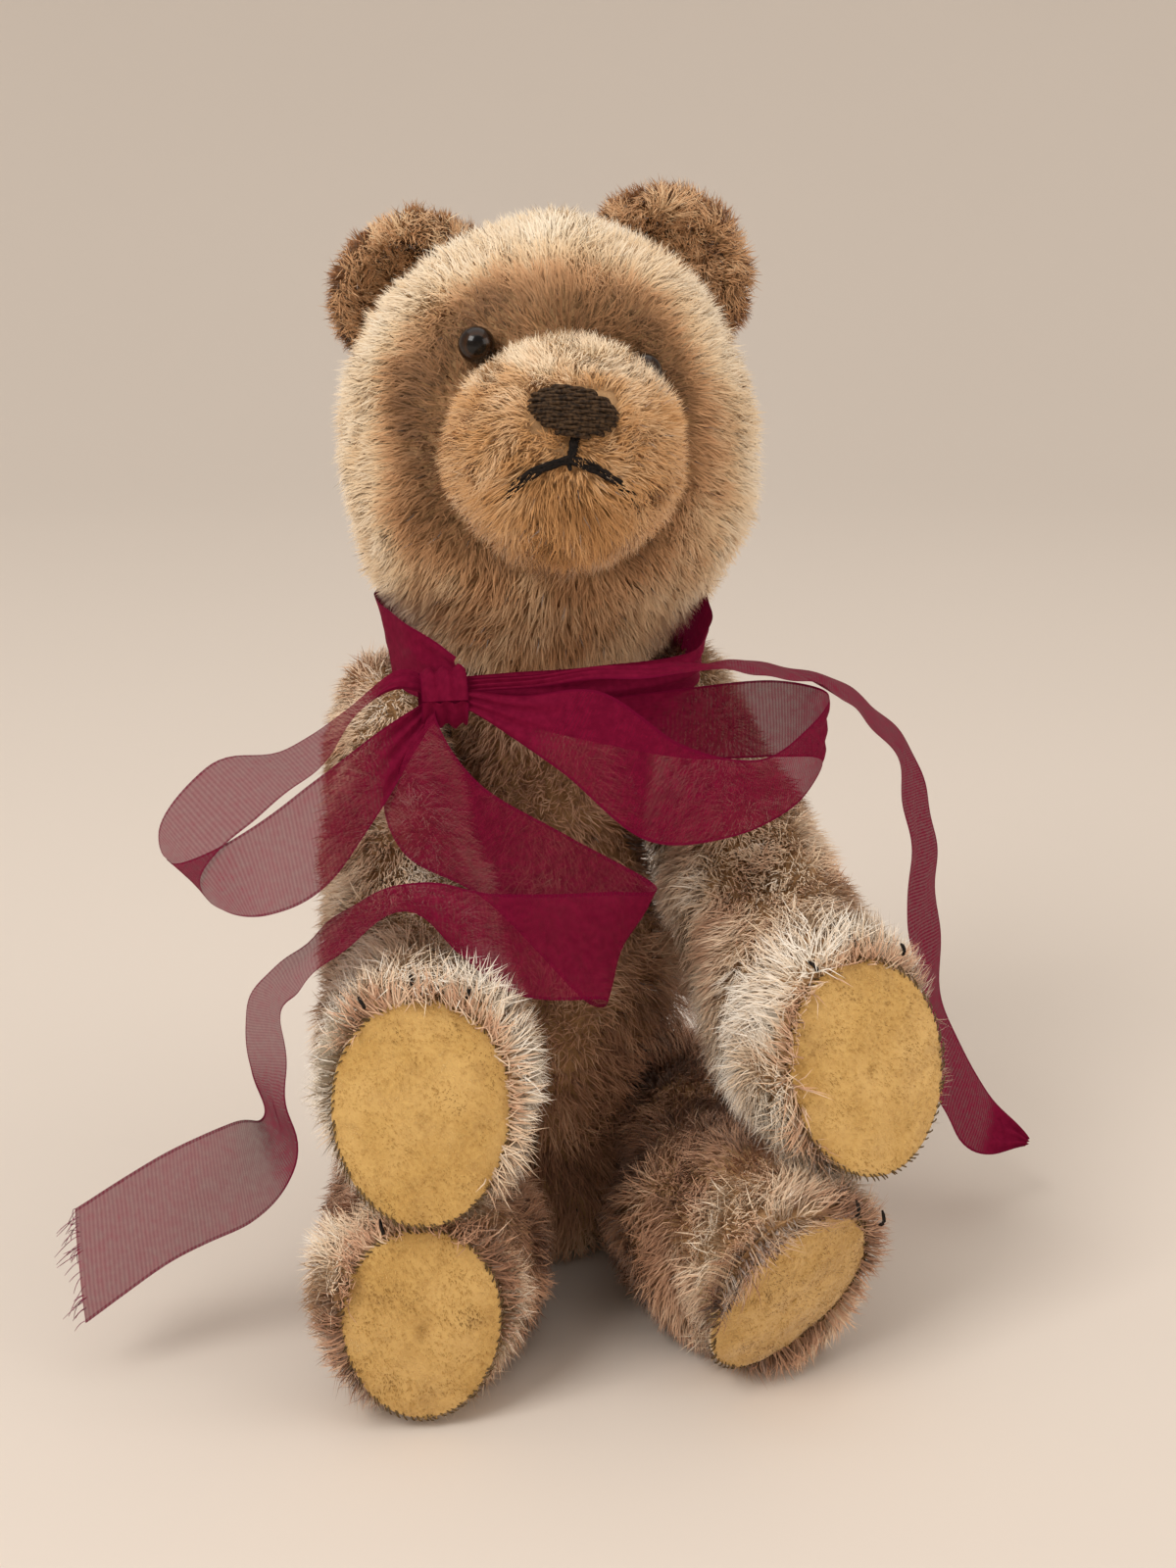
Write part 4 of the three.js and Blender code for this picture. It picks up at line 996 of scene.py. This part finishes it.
# Mouth: a stem and two drooping lines, each four strands of thread that cross as they go
fork = nose["rise"] - nose["height"] / 2 - mouth["stem"]
steps = 26
mouthLines = [[(0.5, fork + mouth["stem"] + 0.6), (0.2, fork + 1.8), (0.0, fork - 0.2)]]
for side, way in sides.items():
    reach = way * mouth["halfWidth"][side]
    mouthLines.append([(-0.2 * way, fork + 0.4), (reach * 0.45, fork - mouth["drop"] * 0.15),
                       (reach * 0.8, fork - mouth["drop"] * 0.42), (reach, fork - mouth["drop"] * 0.75)])
mouthPaths = []
for line in mouthLines:
    flat = curve(np.array(line), np.linspace(0, 1, steps))
    for strand in range(4):
        swing = np.linspace(0, 8, steps) + strand * 1.6
        wander = 0.3 * noseRng.normal() * np.linspace(0.2, 1, steps)
        mouthPaths.append(onMuzzle(flat[:, 0] + 0.4 * np.cos(swing), flat[:, 1] + 0.4 * np.sin(swing) + wander, -0.9))
mouthThreads = threads("mouth_threads", "head", np.array(mouthPaths), mouth["threadRadius"] * mm)
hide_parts("mouth_stitching")
paintWith(mouthThreads, flossMaterial("mouth thread", "070504", "1e1612"))
print("face done")


# Ribbon: one strip of organza, shown by where its two edges pass, in mm

ribbon = {"width": 16, "columns": 14, "rib": 0.6, "knotWidth": 7, "knotRadius": 3.6}
strips = {
    "neckBand": [
        [[-17, -23, 109.5], [-18, -22, 101]], [[-24.3, -12, 113], [-22.5, -13, 101]],
        [[-27, 4, 114], [-25, 3, 101.5]], [[-22, 25, 112], [-20, 24, 101]],
        [[0, 34.5, 110], [0, 33, 100]], [[23, 26, 112], [20, 24, 101]],
        [[28, 4, 112.5], [25.5, 3, 101.5]], [[22, -14.5, 107.5], [19.5, -16, 100.5]],
        [[3, -25, 107.5], [2, -24, 100]], [[-18, -22, 106], [-18, -22.5, 101]]],
    "rightLoop": [
        [[-20, -22.5, 105], [-20, -23, 103]], [[-26, -20, 107], [-27, -27, 106]], [[-34, -15, 100], [-33, -28, 102]],
        [[-43, -14, 94], [-40, -29, 94]], [[-55, -15, 92], [-48, -30, 88]], [[-63, -19, 84], [-57, -32, 80]],
        [[-61, -27, 80], [-54, -37, 76]], [[-50, -31, 86], [-47, -38, 75]], [[-40, -31, 93], [-38, -36, 79]],
        [[-29, -28, 100], [-28, -30, 91]], [[-20, -23, 104], [-20, -24, 102]]],
    "leftLoop": [
        [[-19, -23, 105], [-18, -24, 103]], [[-9, -31, 105], [-12, -31, 100]], [[3, -35, 106], [-3, -36, 94]],
        [[15, -38, 98], [9, -40, 84]], [[27, -37, 95], [22, -40, 84]], [[36, -31, 98], [34, -35, 87]],
        [[42, -23, 101], [40, -26, 91]], [[34, -20, 103], [34, -22, 91]], [[20, -22, 103], [19, -24, 92]],
        [[2, -27, 103], [1, -28, 97]], [[-18, -23, 104], [-18, -24, 102]]],
    "longTail": [
        [[-19, -23, 104], [-20, -23, 101]], [[-21, -28, 101], [-29, -28, 93]], [[-15, -33, 92], [-27, -33, 82]],
        [[-2, -36, 84], [-15, -37, 75]], [[11, -38, 76], [-1, -42, 60]], [[2, -43.5, 77.5], [1, -46, 61.5]],
        [[-14, -43, 78], [-13, -47, 64]], [[-28, -37, 78], [-28, -48, 77]], [[-43, -28, 66], [-42, -45, 67]],
        [[-51, -21, 54], [-46, -36, 58]], [[-50.5, -21, 43], [-45.5, -31, 46]], [[-49.5, -25, 37], [-45, -32, 31]],
        [[-54, -33, 40], [-52, -35, 24]], [[-65, -32, 35], [-64, -36, 19]], [[-79, -30, 26], [-78, -37, 10]]],
    "shortTail": [
        [[-19, -23, 106], [-19, -24, 104]], [[3, -29, 108], [3, -32, 107]], [[21, -22, 107], [18, -35, 109]],
        [[35, -12, 104], [33, -26, 105]], [[48, -5, 99], [45, -19, 100]], [[57.5, -1, 92], [51, -15, 94]],
        [[65, 1, 82], [57, -13, 85]], [[69.5, 3, 68], [59.5, -12, 71]], [[70.5, 3, 52], [60.5, -12, 54]],
        [[72, 0, 36], [63, -13, 33]], [[79, -3, 22], [73, -14, 16]], [[86, -6, 13], [85.5, -7, 12]]],
}


def organza():
    # across the ribbon: dense woven edges, fine ribs along the weft, and a faint slub in each thread
    paint = Paint("burgundy organza")
    along, across = paint.uv()[:2]
    lane = (across * len(strips)).sum("FRACT")
    edge = (lane - 0.5).sum("ABSOLUTE") * 2
    rib = (along * (2 * math.pi / (ribbon["rib"] * mm))).sum("SINE")
    slub = paint.noise(1.1 * mm, 3)
    shade = paint.mix(slub, colour("4c051c"), colour("741230"))
    selvedge = edge.between(0.89, 0.91)
    shade = paint.mix(selvedge, shade, colour("5c0826"))
    density = paint.node("ShaderNodeAttribute", {"attribute_name": "weaveDensity"})[2]
    alpha = (0.7 + density + rib * 0.04 + slub * 0.14 + selvedge * 0.12).clamped()
    # a painted glow: the cloth glows a little in its own colour, standing in for light that passes through cloth this
    # thin
    return paint.finish(Base_Color=shade, Roughness=0.7, Alpha=alpha, Specular_IOR_Level=0.02, Emission_Color=shade,
                        Emission_Strength=0.3)


bearing = np.linspace(0, 2 * math.pi, 9)
knotRing = np.stack([-19.5 + 0 * bearing, -23.2 - ribbon["knotRadius"] * np.cos(bearing),
                     103.6 + 1.25 * ribbon["knotRadius"] * np.sin(bearing)], -1)
knotHalf = np.array([ribbon["knotWidth"] / 2, 0, 0])
strips["knot"] = np.stack([knotRing - knotHalf, knotRing + knotHalf], 1)
# how much denser the cloth looks where it is bunched or seen on edge
thicker = {"neckBand": 0.2, "shortTail": 0.18, "knot": 0.3, "leftLoop": 0.06}
ribbonVertices, ribbonFaces, ribbonUv, ribbonDensity, ribbonLength = [], [], [], [], 0.0
for lane, (stripName, edges) in enumerate(strips.items()):
    edges = np.array(edges, float) * mm
    middleLine = edges.mean(1)
    length = np.linalg.norm(np.diff(curve(middleLine, np.linspace(0, 1, 200)), axis=0), axis=1).sum()
    rows = max(24, int(length / (1.1 * mm)))
    t = np.linspace(0, 1, rows)
    pair = curve(edges, t)
    w = np.linspace(0, 1, ribbon["columns"])[None, :, None]
    grid = pair[:, :1] * (1 - w) + pair[:, 1:] * w
    gathered = 1 - ease(np.linalg.norm(pair[:, 0] - pair[:, 1], axis=-1), 6 * mm, 14 * mm)
    across = unit(pair[:, 1] - pair[:, 0])
    travel = unit(np.gradient(pair.mean(1), axis=0))
    face = unit(np.cross(travel, across))
    ripple = np.sin(w[..., 0] * 2 * math.pi * 3 + 4 * t[:, None]) * gathered[:, None] * 0.5 * mm
    ripple = ripple + 0.35 * mm * waves(grid.reshape(-1, 3), 14 * mm, 200 + lane).reshape(grid.shape[:2])
    grid = grid + face[:, None] * ripple[..., None]
    start = sum(len(v) for v in ribbonVertices)
    index = start + np.arange(rows * ribbon["columns"]).reshape(rows, ribbon["columns"])
    ribbonFaces.append(np.stack([index[:-1, :-1], index[1:, :-1], index[1:, 1:], index[:-1, 1:]], -1).reshape(-1, 4))
    ribbonVertices.append(grid.reshape(-1, 3))
    lanePlace = (lane + 0.02 + 0.96 * w[..., 0] + 0 * t[:, None]) / len(strips)
    ribbonUv.append(np.stack([t[:, None] * length + 0 * lanePlace, lanePlace], -1).reshape(-1, 2))
    ribbonDensity.append(thicker.get(stripName, 0) + 0.3 * gathered[:, None] + 0 * lanePlace)
    ribbonLength += length

# Cut threads at the long tail's end: each leaves the cut along its own way and bends down by its step squared
fray = {"threads": 34, "shortest": 1, "longest": 3.6, "radius": 0.07, "fall": 0.8, "seed": 77}
frayRng = np.random.default_rng(fray["seed"])
frayFrom = curve(np.array(strips["longTail"][-1], float) * mm, np.sort(frayRng.random(fray["threads"])))
frayAlong = unit(np.array([-14.0, 1, -9]) + 4 * frayRng.normal(size=(fray["threads"], 3)))
frayBend = np.array([0, 0, -1.0]) + 0.7 * frayRng.normal(size=(fray["threads"], 3))
frayStep = np.linspace(-0.3, 1, 6)[None, :, None]
frayReach = frayRng.uniform(fray["shortest"], fray["longest"], (fray["threads"], 1, 1))
frayBow = frayBend[:, None] * frayStep**2 * fray["fall"]
frayPaths = frayFrom[:, None] + (frayAlong[:, None] * frayStep * frayReach + frayBow) * mm
cutThreads = threads("ribbon_cut_threads", "torso", frayPaths, fray["radius"] * mm, 3)
paintWith(cutThreads, flossMaterial("burgundy thread", "5c0826", "96506a"))
cloth = makeMesh("neck_ribbon_cloth", np.concatenate(ribbonVertices), ribbonFaces, np.concatenate(ribbonUv))
dense = cloth.data.attributes.new("weaveDensity", "FLOAT", "POINT")
dense.data.foreach_set("value", np.concatenate([d.ravel() for d in ribbonDensity]).astype(np.float32))
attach(cloth, "torso")
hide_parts("neck_ribbon")
paintWith(cloth, organza())
print("ribbon done, length", round(ribbonLength, 3))


# Hidden pieces keep their shapes from the frame and get their own finish

def pinSteel():
    paint = Paint("pin steel")
    rub = paint.noise(1.5 * mm, 3)
    return paint.finish(Base_Color=paint.mix(rub, colour("8b8d90"), colour("b4b6b8")), Metallic=1.0,
                        Roughness=(0.25 + rub * 0.25))


hiddenFinish = {
    "_stuffing": fibrous("packed wood wool", (1.6 * mm, 5, 0.7), ("a98d58", "e0cd9c"), 0.9, (0.8, 0.6 * mm)),
    "_disc": fibrous("pressed board", (0.8 * mm, 4, 0.6), ("6d4f31", "9c7a50"), 0.8, (0.3, 0.2 * mm)),
    "_washer": pinSteel(), "_pin": pinSteel(),
}
for name, node in frame["nodes"].items():
    for ending, material in hiddenFinish.items():
        if name.endswith(ending):
            node.data.materials.clear()
            node.data.materials.append(material)


# Camera, floor and light

view = {"place": (-0.0531, -0.3415, 0.1812), "ahead": (0.167, 0.947, -0.276), "tall": 40}
cameraData = bpy.data.cameras.new("camera")
cameraData.sensor_width = 36
cameraData.lens = cameraData.sensor_width / 2 / math.tan(math.radians(view["tall"] / 2))
camera = bpy.data.objects.new("camera", cameraData)
scene.collection.objects.link(camera)
scene.camera = camera
camera.location = view["place"]
camera.rotation_euler = Vector(view["ahead"]).to_track_quat("-Z", "Y").to_euler()

floorForm = {"radius": 2.6, "flat": 0.9, "rise": 1.5, "under": 0.0002, "rows": 48, "columns": 64, "colour": "e3d8cd"}


def floorMaterial():
    paint = Paint("pale floor")
    cloud = paint.noise(0.35, 2)
    shade = paint.mix(cloud * 0.3, colour(floorForm["colour"]), colour("dacfc4"))
    return paint.finish(Base_Color=shade, Roughness=0.9)


# a dish: flat under the bear, its rim rising on every side as a backdrop
radii = np.linspace(0.001, 1, floorForm["rows"])[:, None] ** 1.4 * floorForm["radius"]
bearing = np.linspace(0, 2 * math.pi, floorForm["columns"], endpoint=False)[None, :]
outwards = np.clip((radii - floorForm["flat"]) / (floorForm["radius"] - floorForm["flat"]), 0, 1)
rimRise = floorForm["rise"] * outwards ** 2.2
dish = np.stack([radii * np.cos(bearing), radii * np.sin(bearing), rimRise - floorForm["under"] + 0 * bearing], -1)
dishIndex = np.arange(dish.shape[0] * dish.shape[1]).reshape(dish.shape[:2])
dishAfter = np.roll(dishIndex, -1, axis=1)
dishFaces = np.stack([dishIndex[:-1], dishIndex[1:], dishAfter[1:], dishAfter[:-1]], -1).reshape(-1, 4)
floor = makeMesh("floor", dish.reshape(-1, 3), [dishFaces, dishIndex[:1]])
floor.data.materials.append(floorMaterial())

lamps = {
    "key": {"place": (-0.75, -0.6, 1.0), "size": 0.6, "power": 9.5, "tint": (1.0, 0.97, 0.93)},
    "fill": {"place": (0.95, -0.6, 0.5), "size": 0.8, "power": 3.6, "tint": (1.0, 0.93, 0.86)},
    "top": {"place": (0, 0.1, 2.1), "size": 2.6, "power": 17, "tint": (1.0, 0.99, 0.97)},
}
for name, lamp in lamps.items():
    data = bpy.data.lights.new(name, "AREA")
    data.size, data.energy, data.color = lamp["size"], lamp["power"], lamp["tint"]
    holder = bpy.data.objects.new(name, data)
    holder.location = lamp["place"]
    holder.rotation_euler = (Vector((0, 0, 0.09)) - Vector(lamp["place"])).to_track_quat("-Z", "Y").to_euler()
    scene.collection.objects.link(holder)

world = bpy.data.worlds.new("studio")
world.use_nodes = True
scene.world = world
world.node_tree.nodes["Background"].inputs[0].default_value = colour("efe6dc")
world.node_tree.nodes["Background"].inputs[1].default_value = 0.45
scene.view_settings.view_transform = "Standard"

print("scene done")
